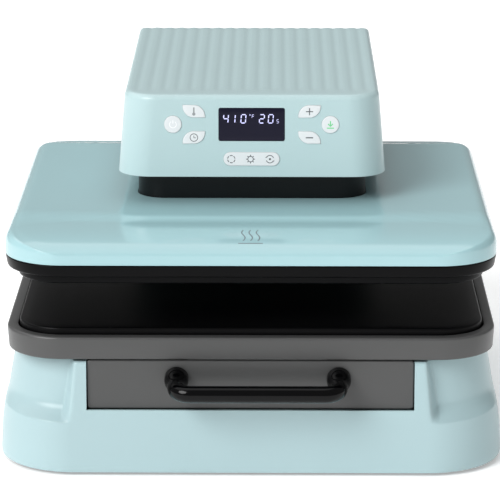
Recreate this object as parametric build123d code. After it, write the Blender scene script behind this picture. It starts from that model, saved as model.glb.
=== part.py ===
from build123d import *
from math import atan2, cos, degrees, sin
import os

# Automatic heat press. A steel C-frame inside plastic casings carries a motor-driven heated
# head above a silicone pad that rides on a pull-out drawer.
# +X is to the right, +Y to the back, +Z up. The origin is on the table, under the middle of
# the whole outline. All sizes are millimetres.

# Fits shared by several pieces
MOVING_GAP = 0.3
RUNNING_FIT = 0.05
LOOSE_GAP = 1.0

# Lower pad, its tray and the heated platen
PAD_SIZE = 383.0
PAD_CORNER = 38.0
PAD_THICKNESS = 12.5
PAD_PLATE_THICKNESS = 4.0
PAD_GAP = 1.0
PAD_STANDS_OUT = 5.5
TRAY_RIM = 9.5
TRAY_HEIGHT = 19.0
PRESS_Y = -14.0
PRESS_GAP = 37.2
PLATEN_THICKNESS = 12.3

# Cover and rim of the heated head
RIM_WALL = 9.5
RIM_RISE = 7.6
RIM_HEIGHT = 10.1
RIM_TAPER = 1.8
COVER_WALL_HEIGHT = 8.1
COVER_HEIGHT = 21.6
COVER_THICKNESS = 2.5
COVER_EDGE = 12.5
COVER_SLOPE_LENGTH = 88.5
COVER_BACK_SLOPE = 40.0
INSULATION_THICKNESS = 6.0
ELEMENT_WIDTH = 8.0
ELEMENT_STANDS_OUT = 2.0
STANDOFF_HEIGHT = 9.0
STANDOFF_RADIUS = 7.0
STANDOFF_X = 105.0
STANDOFF_Y = 80.0
PRESSURE_PLATE = (240.0, 190.0, 5.0)
THERMOSTAT_RADIUS = 8.0

# Neck sleeve and lifting gear
NECK_WIDTH = 195.5
NECK_DEPTH = 110.6
NECK_CORNER = 25.0
NECK_WALL = 2.5
NECK_HEIGHT = 78.0
NECK_FLANGE = 8.0
SCREW_RADIUS = 5.0
SCREW_COLLAR = 7.0
SCREW_END_GAP = 1.5
TUBE_RADIUS = 14.0
TUBE_BORE = 9.0
TUBE_HEIGHT = 39.0
TUBE_FOOT = 24.0
NUT_FLANGE = 4.0
NUT_ABOVE = 11.0
NUT_BELOW = 10.0
ROD_RADIUS = 5.0
ROD_INSET = 14.0
ROD_LENGTH = 99.0
BUSH_RADIUS = 9.0
BUSH_HEIGHT = 22.0
BEARING_RADIUS = 13.0
BEARING_HEIGHT = 8.0
GEARBOX = (62.0, 62.0, 32.0)
MOTOR_RADIUS = 17.0
MOTOR_LENGTH = 75.0

# Base casing
BASE_WIDTH = 420.0
CORNER_BESIDE_MOUTH = 13.0
BASE_LEAN = 4.5
BASE_WALL = 3.0
SKIRT_LOW = 3.0
SKIRT_TOP = 49.0
DECK_TOP = 97.0
DECK_LEAN = 7.5
CORNER_STEP = 5.0
SCOOP_DEPTH = 12.0
MOUTH_JAMB = 8.5
MOUTH_LEAN = 5.0
FRONT_OVERHANG = 2.5
FOOT_HEIGHT = 4.0
FOOT_RADIUS = 14.0
FOOT_INSET = 45.0
PAN_THICKNESS = 3.0
BOSS_RADIUS = 4.0
BOSS_HEIGHT = 25.0
CASE_SCREW_RADIUS = 1.5
CASE_SCREW_LENGTH = 12.0

# Drawer
DRAWER_WIDTH = 268.0
DRAWER_FRONT_LOW = 56.5
DRAWER_FRONT_THICKNESS = 6.0
DRAWER_SETBACK = 5.5
TRAY_CLEARANCE = 2.0
CARRIAGE_INSET = 18.0
SHEET = 1.5
RAIL_BACK_GAP = 70.0
RAIL_HEIGHT = 35.0
RAIL_DEPTH = 16.5
HANDLE_X = 6.0
HANDLE_SPAN = 132.8
HANDLE_Z = 83.0
HANDLE_REACH = 31.0
HANDLE_DROP = 4.5
HANDLE_BAR = 7.0
HANDLE_BEND = 12.0
HANDLE_BOSS = 10.0

# Steel frame
FRAME_PLATE = 4.0
FRAME_GAP = 5.0
FRAME_HALF = 52.0
FRAME_SETBACK = 45.5
COLUMN_PLATE_DEPTH = 38.0
ARM_PLATE_THICKNESS = 6.0
ARM_PLATE_SIDE_GAP = 11.25
ARM_PLATE_FRONT = 30.0
ARM_STIFFENER = 26.0
BED_THICKNESS = 4.0
BED_MARGIN = 17.5
SOLE_THICKNESS = 3.0

# Arm and console casing
ARM_SIDE_MARGIN = 16.0
ARM_TAPER = 11.5
ARM_CORNER = 28.0
ARM_BACK_CORNER = 8.0
ARM_HEIGHT = 69.0
ARM_LEAN = 5.8
ARM_GAP = 23.0
ARM_WALL = 2.5
ARM_OVER_NECK = 19.2
ARM_BACK_RADIUS = 15.0
COLUMN_GAP = 11.5
COLUMN_DEPTH = 49.0
RIB_COUNT = 18
RIB_PITCH = 11.45
RIB_WIDTH = 5.2
RIB_DEPTH = 0.8
RIB_FRONT_MARGIN = 23.0
RIB_LOW = 160.0

# Control panel, measured up the leaning console face
BUTTON_ROW = 44.6
ROUND_BUTTON_X = 66.5
ROUND_BUTTON_RADIUS = 7.4
LEAF_X = 48.8
LEAF_RISE = 11.1
LEAF_WIDTH = 18.9
LEAF_HEIGHT = 10.6
LEAF_FLAT = 10.5
MODE_SIZE = (47.6, 11.6)
MODE_ROW = 15.2
WINDOW_SIZE = (55.8, 28.0)
WINDOW_THICKNESS = 2.0
BUTTON_PROUD = 0.8
BUTTON_FLANGE = 1.2
BUTTON_STEM = 4.0
BUTTON_TRAVEL = 0.8
BOARD_DEPTH = 12.0
BOARD_THICKNESS = 1.6
BOARD_SIZE = (160.0, 57.0)

# Mains inlet and switch at the back of the column
INLET_X = -22.0
SWITCH_X = 22.0
SOCKET_Z = 122.0
INLET_SIZE = (27.0, 20.0, 21.0)
SWITCH_SIZE = (15.0, 21.0, 16.0)
BEZEL = 2.0
ROCKER_TILT = 8.0

# Heights and places that follow from the sizes above
TRAY_SIZE = PAD_SIZE + 2 * (PAD_GAP + TRAY_RIM)
TRAY_CORNER = PAD_CORNER + PAD_GAP + TRAY_RIM
TRAY_LOW = DECK_TOP + TRAY_CLEARANCE
TRAY_TOP = TRAY_LOW + TRAY_HEIGHT
PAD_TOP = TRAY_TOP + PAD_STANDS_OUT
PAD_LOW = PAD_TOP - PAD_THICKNESS
PAD_PLATE_LOW = PAD_LOW - PAD_PLATE_THICKNESS
PLATEN_LOW = PAD_TOP + PRESS_GAP
PLATEN_TOP = PLATEN_LOW + PLATEN_THICKNESS
TRAVEL = PRESS_GAP - MOVING_GAP

RIM_SIZE = PAD_SIZE + 2 * (RIM_WALL + 1.5)
RIM_LOW = PLATEN_LOW + RIM_RISE
RIM_TOP = RIM_LOW + RIM_HEIGHT
RIM_CORNER = PAD_CORNER + RIM_WALL + 2.5
COVER_TOP = RIM_TOP + COVER_HEIGHT
PRESSURE_LOW = PLATEN_TOP + STANDOFF_HEIGHT
PRESSURE_TOP = PRESSURE_LOW + PRESSURE_PLATE[2]
NECK_TOP = PRESSURE_TOP + NECK_HEIGHT

ARM_WIDTH = NECK_WIDTH + 2 * ARM_SIDE_MARGIN
ARM_TOP_WIDTH = ARM_WIDTH - ARM_TAPER
ARM_LOW = COVER_TOP + ARM_GAP
ARM_TOP = ARM_LOW + ARM_HEIGHT
ARM_FRONT = PRESS_Y - NECK_DEPTH / 2 - ARM_OVER_NECK
ARM_ANGLE = atan2(ARM_LEAN, ARM_HEIGHT)
COLUMN_FRONT = PRESS_Y + RIM_SIZE / 2 + COLUMN_GAP
COLUMN_BACK = COLUMN_FRONT + COLUMN_DEPTH
BASE_FRONT = PRESS_Y - TRAY_SIZE / 2 - FRONT_OVERHANG
BASE_BACK = COLUMN_BACK + 2.0

BASE_CORNER = (BASE_WIDTH - DRAWER_WIDTH) / 2 - CORNER_BESIDE_MOUTH
DECK_CORNER = BASE_CORNER - CORNER_STEP
PAN_TOP = FOOT_HEIGHT + PAN_THICKNESS
SOLE_TOP = PAN_TOP + SOLE_THICKNESS
BED_LOW = SKIRT_TOP
BED_TOP = BED_LOW + BED_THICKNESS
FRAME_BACK = COLUMN_BACK - FRAME_GAP
COLUMN_PLATE_FRONT = FRAME_BACK - COLUMN_PLATE_DEPTH
ARM_PLATE_HALF = NECK_WIDTH / 2 - NECK_WALL - ARM_PLATE_SIDE_GAP
ROD_X = ARM_PLATE_HALF - ROD_INSET
ARM_PLATE_LOW = ARM_LOW + 20.0
ARM_PLATE_TOP = ARM_PLATE_LOW + ARM_PLATE_THICKNESS
GEARBOX_LOW = ARM_PLATE_LOW + BEARING_HEIGHT
SCREW_LOW = PRESSURE_TOP + SCREW_END_GAP
SCREW_TOP = GEARBOX_LOW + 23.0
TUBE_TOP = PRESSURE_TOP + TUBE_HEIGHT

DRAWER_FRONT_FACE = BASE_FRONT + DRAWER_SETBACK
DRAWER_FRONT_BACK = DRAWER_FRONT_FACE + DRAWER_FRONT_THICKNESS
CARRIAGE_WIDTH = DRAWER_WIDTH - 2 * CARRIAGE_INSET
RAIL_FRONT = DRAWER_FRONT_BACK + 7.0
RAIL_LENGTH = COLUMN_FRONT - RAIL_FRONT - RAIL_BACK_GAP
RAIL_Z = (DRAWER_FRONT_LOW + DECK_TOP) / 2
BRACKET_FRONT = BASE_FRONT + SCOOP_DEPTH + BASE_WALL + 8.0
FRAME_FRONT = BRACKET_FRONT + FRAME_SETBACK
BED_WIDTH = CARRIAGE_WIDTH + 2 * (RAIL_DEPTH + BED_MARGIN)

PANEL = Plane(
    origin=(0, ARM_FRONT, ARM_LOW),
    x_dir=(1, 0, 0),
    z_dir=(0, -cos(ARM_ANGLE), sin(ARM_ANGLE)),
)


# Basic solids

def block(x_range, y_range, z_range):
    """Square-edged block between two corners."""
    sizes = [high - low for low, high in (x_range, y_range, z_range)]
    middle = [(low + high) / 2 for low, high in (x_range, y_range, z_range)]
    return Pos(*middle) * Box(*sizes)


def plan(width, depth, corner, z, y=PRESS_Y):
    """Rounded rectangle lying level at one height."""
    return Pos(0, y, z) * RectangleRounded(width, depth, corner)


def slab(width, depth, corner, low, high, y=PRESS_Y):
    """Upright block with rounded plan corners."""
    return extrude(plan(width, depth, corner, low, y), high - low)


def post(radius, low, high, x=0.0, y=PRESS_Y):
    """Upright cylinder between two heights."""
    return Pos(x, y, (low + high) / 2) * Cylinder(radius, high - low)


def sleeve(outer, inner, low, high, x=0.0, y=PRESS_Y):
    """Upright tube between two heights."""
    return post(outer, low, high, x, y) - post(inner, low - 1, high + 1, x, y)


def both_sides(shape):
    """The shape and its mirror image across the middle of the machine."""
    return shape + mirror(shape, about=Plane.YZ)


def on_panel(sketch, depth, thickness):
    """Solid that stands on the console face; depth is measured inwards from the face."""
    return extrude(PANEL * Pos(0, 0, -depth) * sketch, thickness)


# Base

def base_form(inset):
    """Outside of the base casing, or its hollow when drawn in by the wall."""
    depth = BASE_BACK - BASE_FRONT
    middle = (BASE_BACK + BASE_FRONT) / 2
    low = SKIRT_LOW - (1 if inset else 0)
    skirt_top = SKIRT_TOP - inset
    deck_top = DECK_TOP - inset
    wide = BASE_WIDTH - 2 * inset
    long = depth - 2 * inset
    skirt = loft(
        [
            plan(wide, long, BASE_CORNER - inset, low, middle),
            plan(wide - 2 * BASE_LEAN, long - BASE_LEAN, BASE_CORNER - inset, skirt_top, middle),
        ],
        ruled=True,
    )
    body_long = long - SCOOP_DEPTH - BASE_LEAN
    body_middle = middle + SCOOP_DEPTH / 2
    body = loft(
        [
            plan(wide - 2 * BASE_LEAN - 2, body_long, DECK_CORNER, skirt_top, body_middle),
            plan(wide - 2 * (BASE_LEAN + DECK_LEAN), body_long, DECK_CORNER, deck_top, body_middle),
        ],
        ruled=True,
    )
    mouth_wide = DRAWER_WIDTH + 2 * (LOOSE_GAP + MOUTH_JAMB - inset) + 2 * MOUTH_LEAN
    mouth_front = BASE_FRONT + BASE_LEAN / 2 + inset
    mouth_back = mouth_front + 3 * SCOOP_DEPTH
    mouth = loft(
        [
            mouth_section(mouth_wide, mouth_front, mouth_back, skirt_top),
            mouth_section(mouth_wide - 2 * MOUTH_LEAN, mouth_front + 1, mouth_back, deck_top),
        ],
        ruled=True,
    )
    return skirt + body + mouth


def mouth_section(width, front, back, z):
    """Level rectangle of the block that frames the drawer."""
    return Pos(0, (front + back) / 2, z) * Rectangle(width, back - front)


def pan_points():
    """Places of the screws that join the pan to the base casing."""
    x = BASE_WIDTH / 2 - 25
    return [(side * x, y) for side in (-1, 1) for y in (BASE_FRONT + 98, 20, BASE_BACK - 51)]


def base_shell():
    """Deep casing with the drawer mouth, the deck under the tray and screw bosses."""
    shell = base_form(0) - base_form(BASE_WALL)
    opening = DRAWER_WIDTH / 2 + LOOSE_GAP
    shell -= block(
        (-opening, opening),
        (BASE_FRONT - 5, RAIL_FRONT + RAIL_LENGTH + 25),
        (DRAWER_FRONT_LOW - LOOSE_GAP, DECK_TOP + 1),
    )
    shell -= block(
        (-FRAME_HALF - 4, FRAME_HALF + 4),
        (COLUMN_PLATE_FRONT - 2, FRAME_BACK + 2),
        (DECK_TOP - 2 * BASE_WALL, DECK_TOP + 1),
    )
    for x, y in pan_points():
        shell += post(BOSS_RADIUS, PAN_TOP, DECK_TOP - BASE_WALL, x, y)
        shell -= post(CASE_SCREW_RADIUS, PAN_TOP - 1, PAN_TOP + CASE_SCREW_LENGTH, x, y)
    for x, y in casing_points():
        if y > COLUMN_FRONT:
            shell -= post(CASE_SCREW_RADIUS, DECK_TOP - BASE_WALL - 1, DECK_TOP + 1, x, y)
    return shell


def base_pan():
    """Bottom closing plate with slots for air."""
    inset = BASE_WALL + 1.5
    middle = (BASE_BACK + BASE_FRONT) / 2
    pan = slab(
        BASE_WIDTH - 2 * inset,
        BASE_BACK - BASE_FRONT - 2 * inset,
        BASE_CORNER - inset,
        FOOT_HEIGHT,
        PAN_TOP,
        middle,
    )
    slots = [
        Pos(side * 120, y, FOOT_HEIGHT) * Box(60, 4, 4 * PAN_THICKNESS)
        for side in (-1, 1)
        for y in range(90, 171, 10)
    ]
    for x, y in pan_points():
        slots.append(post(CASE_SCREW_RADIUS, FOOT_HEIGHT - 1, PAN_TOP + 1, x, y))
    for x, y in frame_points():
        slots.append(post(3.0, FOOT_HEIGHT - 1, PAN_TOP + 1, x, y))
    return pan - slots


def foot_points():
    """Centres of the four feet."""
    x = BASE_WIDTH / 2 - FOOT_INSET
    front = BASE_FRONT + FOOT_INSET + 8
    return [(side * x, y) for side in (-1, 1) for y in (front, BASE_BACK - FOOT_INSET)]


def feet():
    """Four rubber discs under the pan."""
    return Part() + [post(FOOT_RADIUS, 0, FOOT_HEIGHT, x, y) for x, y in foot_points()]


def pan_screws():
    """Self-tapping screws driven up through the pan; their heads stay above the table."""
    screws = []
    for x, y in pan_points():
        screws.append(
            post(CASE_SCREW_RADIUS, FOOT_HEIGHT, PAN_TOP + CASE_SCREW_LENGTH - 1, x, y)
            + post(2 * CASE_SCREW_RADIUS, FOOT_HEIGHT - 1.6, FOOT_HEIGHT, x, y)
        )
    return Part() + screws


# Steel frame

def frame_points():
    """Places of the bolts that hold the frame to the pan."""
    x = FRAME_HALF - 20
    return [(side * x, y) for side in (-1, 1) for y in (FRAME_FRONT + 30, 40, FRAME_BACK - 60)]


def sole_plate():
    """Flat steel plate that spreads the frame's load over the pan."""
    plate = block((-FRAME_HALF - 8, FRAME_HALF + 8), (FRAME_FRONT, FRAME_BACK), (PAN_TOP, SOLE_TOP))
    return plate - [post(3.0, PAN_TOP - 1, SOLE_TOP + 1, x, y) for x, y in frame_points()]


def frame_side():
    """Right-hand C-shaped plate: leg under the bed, column, and stiffener on the arm plate."""
    thickness = (FRAME_HALF - FRAME_PLATE, FRAME_HALF)
    arm_top = ARM_PLATE_TOP + ARM_STIFFENER
    leg = block(thickness, (FRAME_FRONT, FRAME_BACK), (SOLE_TOP, BED_LOW))
    column = block(thickness, (COLUMN_PLATE_FRONT, FRAME_BACK), (SOLE_TOP, arm_top))
    arm = block(thickness, (PRESS_Y - ARM_PLATE_FRONT, FRAME_BACK), (ARM_PLATE_TOP, arm_top))
    plate = leg + column + arm
    top_corner = plate.edges().filter_by(Axis.X).sort_by(Axis.Z)[-2:].sort_by(Axis.Y)[-1]
    return fillet(top_corner, ARM_BACK_RADIUS - FRAME_GAP)


def frame_side_left():
    """Left-hand C-shaped plate."""
    return mirror(frame_side(), about=Plane.YZ)


def frame_ties():
    """Cross plates that join the two C-plates at the leg's front and at the column."""
    inner = FRAME_HALF - FRAME_PLATE
    front = block((-inner, inner), (FRAME_FRONT, FRAME_FRONT + FRAME_PLATE), (SOLE_TOP, BED_LOW))
    back = block(
        (-inner, inner),
        (FRAME_BACK - FRAME_PLATE, FRAME_BACK),
        (RIB_LOW - 10, ARM_PLATE_LOW - 13),
    )
    return front + back


def bed_plate():
    """Steel bed on the frame's legs; it takes the pressing force and carries the rails."""
    y_range = (BRACKET_FRONT, COLUMN_PLATE_FRONT - 6)
    return block((-BED_WIDTH / 2, BED_WIDTH / 2), y_range, (BED_LOW, BED_TOP))


def slide_pads():
    """Two low-friction strips that the drawer's carriage rests on."""
    strip = block(
        (CARRIAGE_WIDTH / 2 - 30, CARRIAGE_WIDTH / 2 - 14),
        (BRACKET_FRONT + 20, RAIL_FRONT + RAIL_LENGTH - 40),
        (BED_TOP, DRAWER_FRONT_LOW - MOVING_GAP),
    )
    return both_sides(strip)


def arm_plate():
    """Thick plate of the arm: it holds the screw's bearing and the guide bushes."""
    wide_back = PRESS_Y + ARM_PLATE_FRONT
    z_range = (ARM_PLATE_LOW, ARM_PLATE_TOP)
    plate = block((-ARM_PLATE_HALF, ARM_PLATE_HALF), (PRESS_Y - ARM_PLATE_FRONT, wide_back), z_range)
    plate += block((-FRAME_HALF, FRAME_HALF), (wide_back, COLUMN_PLATE_FRONT), z_range)
    plate -= post(BEARING_RADIUS, ARM_PLATE_LOW - 1, ARM_PLATE_TOP + 1)
    for side in (-1, 1):
        plate -= post(BUSH_RADIUS, ARM_PLATE_LOW - 1, ARM_PLATE_TOP + 1, side * ROD_X)
    return plate


def frame_bolts():
    """Countersunk bolts through the sole plate into the pan."""
    bolts = []
    for x, y in frame_points():
        bolts.append(post(3.0, FOOT_HEIGHT, SOLE_TOP, x, y) + post(5.0, SOLE_TOP, SOLE_TOP + 3.5, x, y))
    return Part() + bolts


# Drawer rails, outermost first

def channel(web_x, web, reach, half_height, sheet, length, front):
    """Rail on the right: upright web with two level flanges; reach may run either way."""
    y_range = (front, front + length)
    edge = web_x + web if reach > 0 else web_x
    flange = (min(edge, edge + reach), max(edge, edge + reach))
    rail = block((web_x, web_x + web), y_range, (RAIL_Z - half_height, RAIL_Z + half_height))
    for level in (RAIL_Z - half_height, RAIL_Z + half_height - sheet):
        rail += block(flange, y_range, (level, level + sheet))
    return rail


def outer_rails():
    """Fixed members of the two telescopic slides, open towards the drawer."""
    outside = CARRIAGE_WIDTH / 2 + RAIL_DEPTH
    return both_sides(
        channel(outside - SHEET, SHEET, -8.5, RAIL_HEIGHT / 2, 1.2, RAIL_LENGTH, RAIL_FRONT)
    )


def middle_rails():
    """Members that run half way out when the drawer is open."""
    outside = CARRIAGE_WIDTH / 2 + RAIL_DEPTH - SHEET - 1.0
    half = RAIL_HEIGHT / 2 - 2.7
    return both_sides(channel(outside - 1.0, 1.0, -8.0, half, 1.2, RAIL_LENGTH, RAIL_FRONT))


def inner_rails():
    """Members screwed to the sides of the drawer's carriage."""
    inside = CARRIAGE_WIDTH / 2
    half = RAIL_HEIGHT / 2 - 6.0
    return both_sides(channel(inside, SHEET, 9.5, half, 1.2, RAIL_LENGTH, RAIL_FRONT))


def rail_brackets():
    """Angle brackets that stand on the bed and hold the outer members."""
    outside = CARRIAGE_WIDTH / 2 + RAIL_DEPTH
    y_range = (RAIL_FRONT + 5, RAIL_FRONT + RAIL_LENGTH)
    wall = block((outside, outside + SHEET), y_range, (BED_TOP, DECK_TOP - BASE_WALL - 2))
    foot = block((outside, outside + 15), y_range, (BED_TOP, BED_TOP + SHEET))
    return both_sides(wall + foot)


# Drawer

def carriage():
    """Folded steel box under the tray, open at the top between two inward flanges."""
    half = CARRIAGE_WIDTH / 2
    y_range = (DRAWER_FRONT_BACK, DRAWER_FRONT_BACK + RAIL_LENGTH)
    body = block((-half, half), y_range, (DRAWER_FRONT_LOW, TRAY_LOW))
    hollow = block(
        (SHEET - half, half - SHEET),
        (y_range[0] + SHEET, y_range[1] - SHEET),
        (DRAWER_FRONT_LOW + SHEET, TRAY_LOW - SHEET),
    )
    top = block((16 - half, half - 16), (y_range[0] + 16, y_range[1] - 16), (TRAY_LOW - 9, TRAY_LOW + 1))
    holes = [Pos(x, y_range[0], HANDLE_Z) * Rot(90, 0, 0) * Cylinder(5.0, 10) for x in handle_places()]
    return body - hollow - top - holes


def drawer_front():
    """Moulded front of the drawer with softened edges."""
    half = DRAWER_WIDTH / 2
    front = block((-half, half), (DRAWER_FRONT_FACE, DRAWER_FRONT_BACK), (DRAWER_FRONT_LOW, TRAY_LOW - 1))
    front = fillet(front.faces().sort_by(Axis.Y)[0].edges(), 2.0)
    for x in handle_places():
        front -= Pos(x, DRAWER_FRONT_BACK, HANDLE_Z) * Rot(90, 0, 0) * Cylinder(2.1, 20)
    return front


def handle_places():
    """Sideways places of the handle's two roots."""
    return [HANDLE_X + side * HANDLE_SPAN / 2 for side in (-1, 1)]


def handle():
    """Bow handle: round bar that swings forward from two thicker roots."""
    half = HANDLE_SPAN / 2
    slope = degrees(atan2(HANDLE_DROP, HANDLE_REACH))
    route = FilletPolyline(
        (-half, 0), (-half, -HANDLE_REACH), (half, -HANDLE_REACH), (half, 0), radius=HANDLE_BEND
    )
    bar = sweep(Plane(route @ 0, z_dir=route % 0) * Circle(HANDLE_BAR), path=route)
    bar = Rot(slope, 0, 0) * bar
    bar -= block((-2 * half, 2 * half), (0, 2 * HANDLE_BAR), (-HANDLE_BOSS, HANDLE_BOSS))
    for side in (-1, 1):
        bar += Pos(side * half, -4, 0) * Rot(90, 0, 0) * Cylinder(HANDLE_BOSS, 8)
        bar -= Pos(side * half, 0, 0) * Rot(90, 0, 0) * Cylinder(2.0, 20)
    return Pos(HANDLE_X, DRAWER_FRONT_FACE, HANDLE_Z) * bar


def handle_screws():
    """Two machine screws from inside the drawer front into the handle's roots."""
    screws = []
    for x in handle_places():
        shank = Pos(x, DRAWER_FRONT_FACE, HANDLE_Z) * Rot(90, 0, 0) * Cylinder(2.0, 16)
        head = Pos(x, DRAWER_FRONT_BACK + 1.25, HANDLE_Z) * Rot(90, 0, 0) * Cylinder(4.0, 2.5)
        screws.append(shank - block((x - 5, x + 5), (DRAWER_FRONT_BACK, BASE_BACK), (0, ARM_TOP)) + head)
    return Part() + screws


def tray():
    """Shallow tray whose raised rim surrounds the pad."""
    body = slab(TRAY_SIZE, TRAY_SIZE, TRAY_CORNER, TRAY_LOW, TRAY_TOP)
    body = fillet(body.faces().sort_by(Axis.Z)[-1].edges(), 1.0)
    well = PAD_SIZE + 2 * PAD_GAP
    return body - slab(well, well, PAD_CORNER + PAD_GAP, PAD_PLATE_LOW, TRAY_TOP + 1)


def tray_plate():
    """Flat aluminium plate under the pad."""
    return slab(PAD_SIZE, PAD_SIZE, PAD_CORNER, PAD_PLATE_LOW, PAD_LOW)


def pad():
    """Silicone foam pad."""
    return slab(PAD_SIZE, PAD_SIZE, PAD_CORNER, PAD_LOW, PAD_TOP)


# Heated head, from the bottom up

def element_loops(low, high):
    """The two loops of the heating element."""
    loops = []
    for size, corner in ((0.84 * PAD_SIZE, 50.0), (0.47 * PAD_SIZE, 40.0)):
        inner = size - 2 * ELEMENT_WIDTH
        loops.append(
            slab(size, size, corner, low, high)
            - slab(inner, inner, corner - ELEMENT_WIDTH, low - 1, high + 1)
        )
    return Part() + loops


def heat_plate():
    """Cast aluminium platen with grooves for the element in its back."""
    plate = slab(PAD_SIZE, PAD_SIZE, PAD_CORNER, PLATEN_LOW, PLATEN_TOP)
    return plate - element_loops(PLATEN_TOP - ELEMENT_WIDTH + ELEMENT_STANDS_OUT, PLATEN_TOP + 1)


def heating_element():
    """Tubular element pressed into the platen's grooves."""
    low = PLATEN_TOP - ELEMENT_WIDTH + ELEMENT_STANDS_OUT
    return element_loops(low, PLATEN_TOP + ELEMENT_STANDS_OUT)


def standoff_points():
    """Centres of the four spacers."""
    return [(sx * STANDOFF_X, PRESS_Y + sy * STANDOFF_Y) for sx in (-1, 1) for sy in (-1, 1)]


def insulation():
    """Ceramic fibre board between the hot platen and the cover."""
    size = PAD_SIZE - 17
    low = PLATEN_TOP + ELEMENT_STANDS_OUT + 0.5
    board = slab(size, size, PAD_CORNER - 8, low, low + INSULATION_THICKNESS)
    holes = [post(STANDOFF_RADIUS + 1, low - 1, PRESSURE_LOW, x, y) for x, y in standoff_points()]
    holes.append(post(THERMOSTAT_RADIUS + 1, low - 1, PRESSURE_LOW))
    return board - holes


def standoffs():
    """Four spacers between the platen and the pressure plate."""
    spacers = [
        sleeve(STANDOFF_RADIUS, 3.0, PLATEN_TOP, PRESSURE_LOW, x, y) for x, y in standoff_points()
    ]
    return Part() + spacers


def thermostat():
    """Disc cut-out that touches the back of the platen."""
    return post(THERMOSTAT_RADIUS, PLATEN_TOP, PRESSURE_LOW - 0.5)


def pressure_plate():
    """Steel plate that takes the screw's force into the spacers."""
    width, depth, thickness = PRESSURE_PLATE
    return slab(width, depth, 12, PRESSURE_LOW, PRESSURE_LOW + thickness)


def rim():
    """Black frame round the platen; its outside draws in slightly towards the bottom."""
    lower = RIM_SIZE - 2 * RIM_TAPER
    frame = loft(
        [
            plan(lower, lower, RIM_CORNER - RIM_TAPER, RIM_LOW),
            plan(RIM_SIZE, RIM_SIZE, RIM_CORNER, RIM_TOP),
        ],
        ruled=True,
    )
    inner = PAD_SIZE + 2 * LOOSE_GAP
    return frame - slab(inner, inner, PAD_CORNER + LOOSE_GAP, RIM_LOW - 1, RIM_TOP + 1)


def cover_form(inset):
    """Outside of the cover, or its hollow when drawn in by the thickness."""
    size = RIM_SIZE - 2 * inset
    top = COVER_TOP - inset
    low = RIM_TOP - (1 if inset else 0)
    body = slab(size, size, RIM_CORNER - inset, low, top)
    body = fillet(body.faces().sort_by(Axis.Z)[-1].edges(), COVER_EDGE - inset)
    front = PRESS_Y - size / 2
    back = PRESS_Y + size / 2
    wall_top = RIM_TOP + COVER_WALL_HEIGHT - inset
    crest = (front + COVER_SLOPE_LENGTH, top)
    slope = EllipticalCenterArc(
        (crest[0], wall_top), COVER_SLOPE_LENGTH, top - wall_top, start_angle=90, arc_size=90
    )
    above = make_face(
        slope
        + Polyline(
            (front, wall_top), (front - 5, wall_top), (front - 5, top + 9), (crest[0], top + 9), crest
        )
    )
    fall = (back - COVER_BACK_SLOPE, top)
    back_slope = EllipticalCenterArc(
        (fall[0], wall_top), COVER_BACK_SLOPE, top - wall_top, start_angle=0, arc_size=90
    )
    behind = make_face(
        back_slope
        + Polyline(
            fall, (fall[0], top + 9), (back + 5, top + 9), (back + 5, wall_top), (back, wall_top)
        )
    )
    front_cut = extrude(Plane.YZ * above, RIM_SIZE, both=True)
    back_cut = extrude(Plane.YZ * behind, RIM_SIZE, both=True)
    return body - front_cut - back_cut


def cover():
    """Glossy moulded cover with a long soft slope at the front and a hole for the neck."""
    hole = slab(
        NECK_WIDTH + 2 * MOVING_GAP,
        NECK_DEPTH + 2 * MOVING_GAP,
        NECK_CORNER,
        PRESSURE_TOP,
        COVER_TOP + 1,
    )
    return cover_form(0) - cover_form(COVER_THICKNESS) - hole


def neck():
    """Sleeve that rises with the head into the console, slotted at the back for the arm."""
    inner = (NECK_WIDTH - 2 * NECK_WALL, NECK_DEPTH - 2 * NECK_WALL)
    tube = slab(NECK_WIDTH, NECK_DEPTH, NECK_CORNER, PRESSURE_TOP, NECK_TOP)
    tube -= slab(*inner, NECK_CORNER - NECK_WALL, PRESSURE_TOP + 3, NECK_TOP + 1)
    tube -= slab(
        inner[0] - 2 * NECK_FLANGE,
        inner[1] - 2 * NECK_FLANGE,
        NECK_CORNER - NECK_FLANGE,
        PRESSURE_TOP - 1,
        NECK_TOP,
    )
    half = FRAME_HALF + 2
    return tube - block((-half, half), (PRESS_Y, COLUMN_FRONT), (ARM_PLATE_LOW - 1.5, NECK_TOP + 1))


def lift_tube():
    """Flanged tube that carries the nut and swallows the screw."""
    tube = post(TUBE_RADIUS, PRESSURE_TOP, TUBE_TOP) + post(TUBE_FOOT, PRESSURE_TOP, PRESSURE_TOP + 4)
    return tube - post(TUBE_BORE, PRESSURE_TOP - 1, TUBE_TOP + 1)


def lift_nut():
    """Bronze nut seated in the top of the lift tube."""
    nut = post(TUBE_BORE, TUBE_TOP - NUT_BELOW, TUBE_TOP + NUT_FLANGE + NUT_ABOVE)
    nut += post(TUBE_RADIUS, TUBE_TOP, TUBE_TOP + NUT_FLANGE)
    return nut - post(SCREW_RADIUS + RUNNING_FIT, TUBE_TOP - NUT_BELOW - 1, TUBE_TOP + 30)


def guide_rods():
    """Two ground rods that keep the head level."""
    return both_sides(post(ROD_RADIUS, PRESSURE_TOP, PRESSURE_TOP + ROD_LENGTH, ROD_X))


def guide_bushes():
    """Flanged bushes in the arm plate that the rods run in."""
    low = ARM_PLATE_TOP + 3 - BUSH_HEIGHT
    bush = post(BUSH_RADIUS, low, ARM_PLATE_TOP + 3, ROD_X)
    bush += post(BUSH_RADIUS + 3, ARM_PLATE_TOP, ARM_PLATE_TOP + 3, ROD_X)
    return both_sides(bush - post(ROD_RADIUS + RUNNING_FIT, low - 1, ARM_PLATE_TOP + 4, ROD_X))


def lead_screw():
    """Lifting screw with a collar that bears against the underside of the bearing."""
    screw = post(SCREW_RADIUS, SCREW_LOW, SCREW_TOP)
    return screw + post(SCREW_COLLAR, ARM_PLATE_LOW - 1.4, ARM_PLATE_LOW - 0.1)


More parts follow.
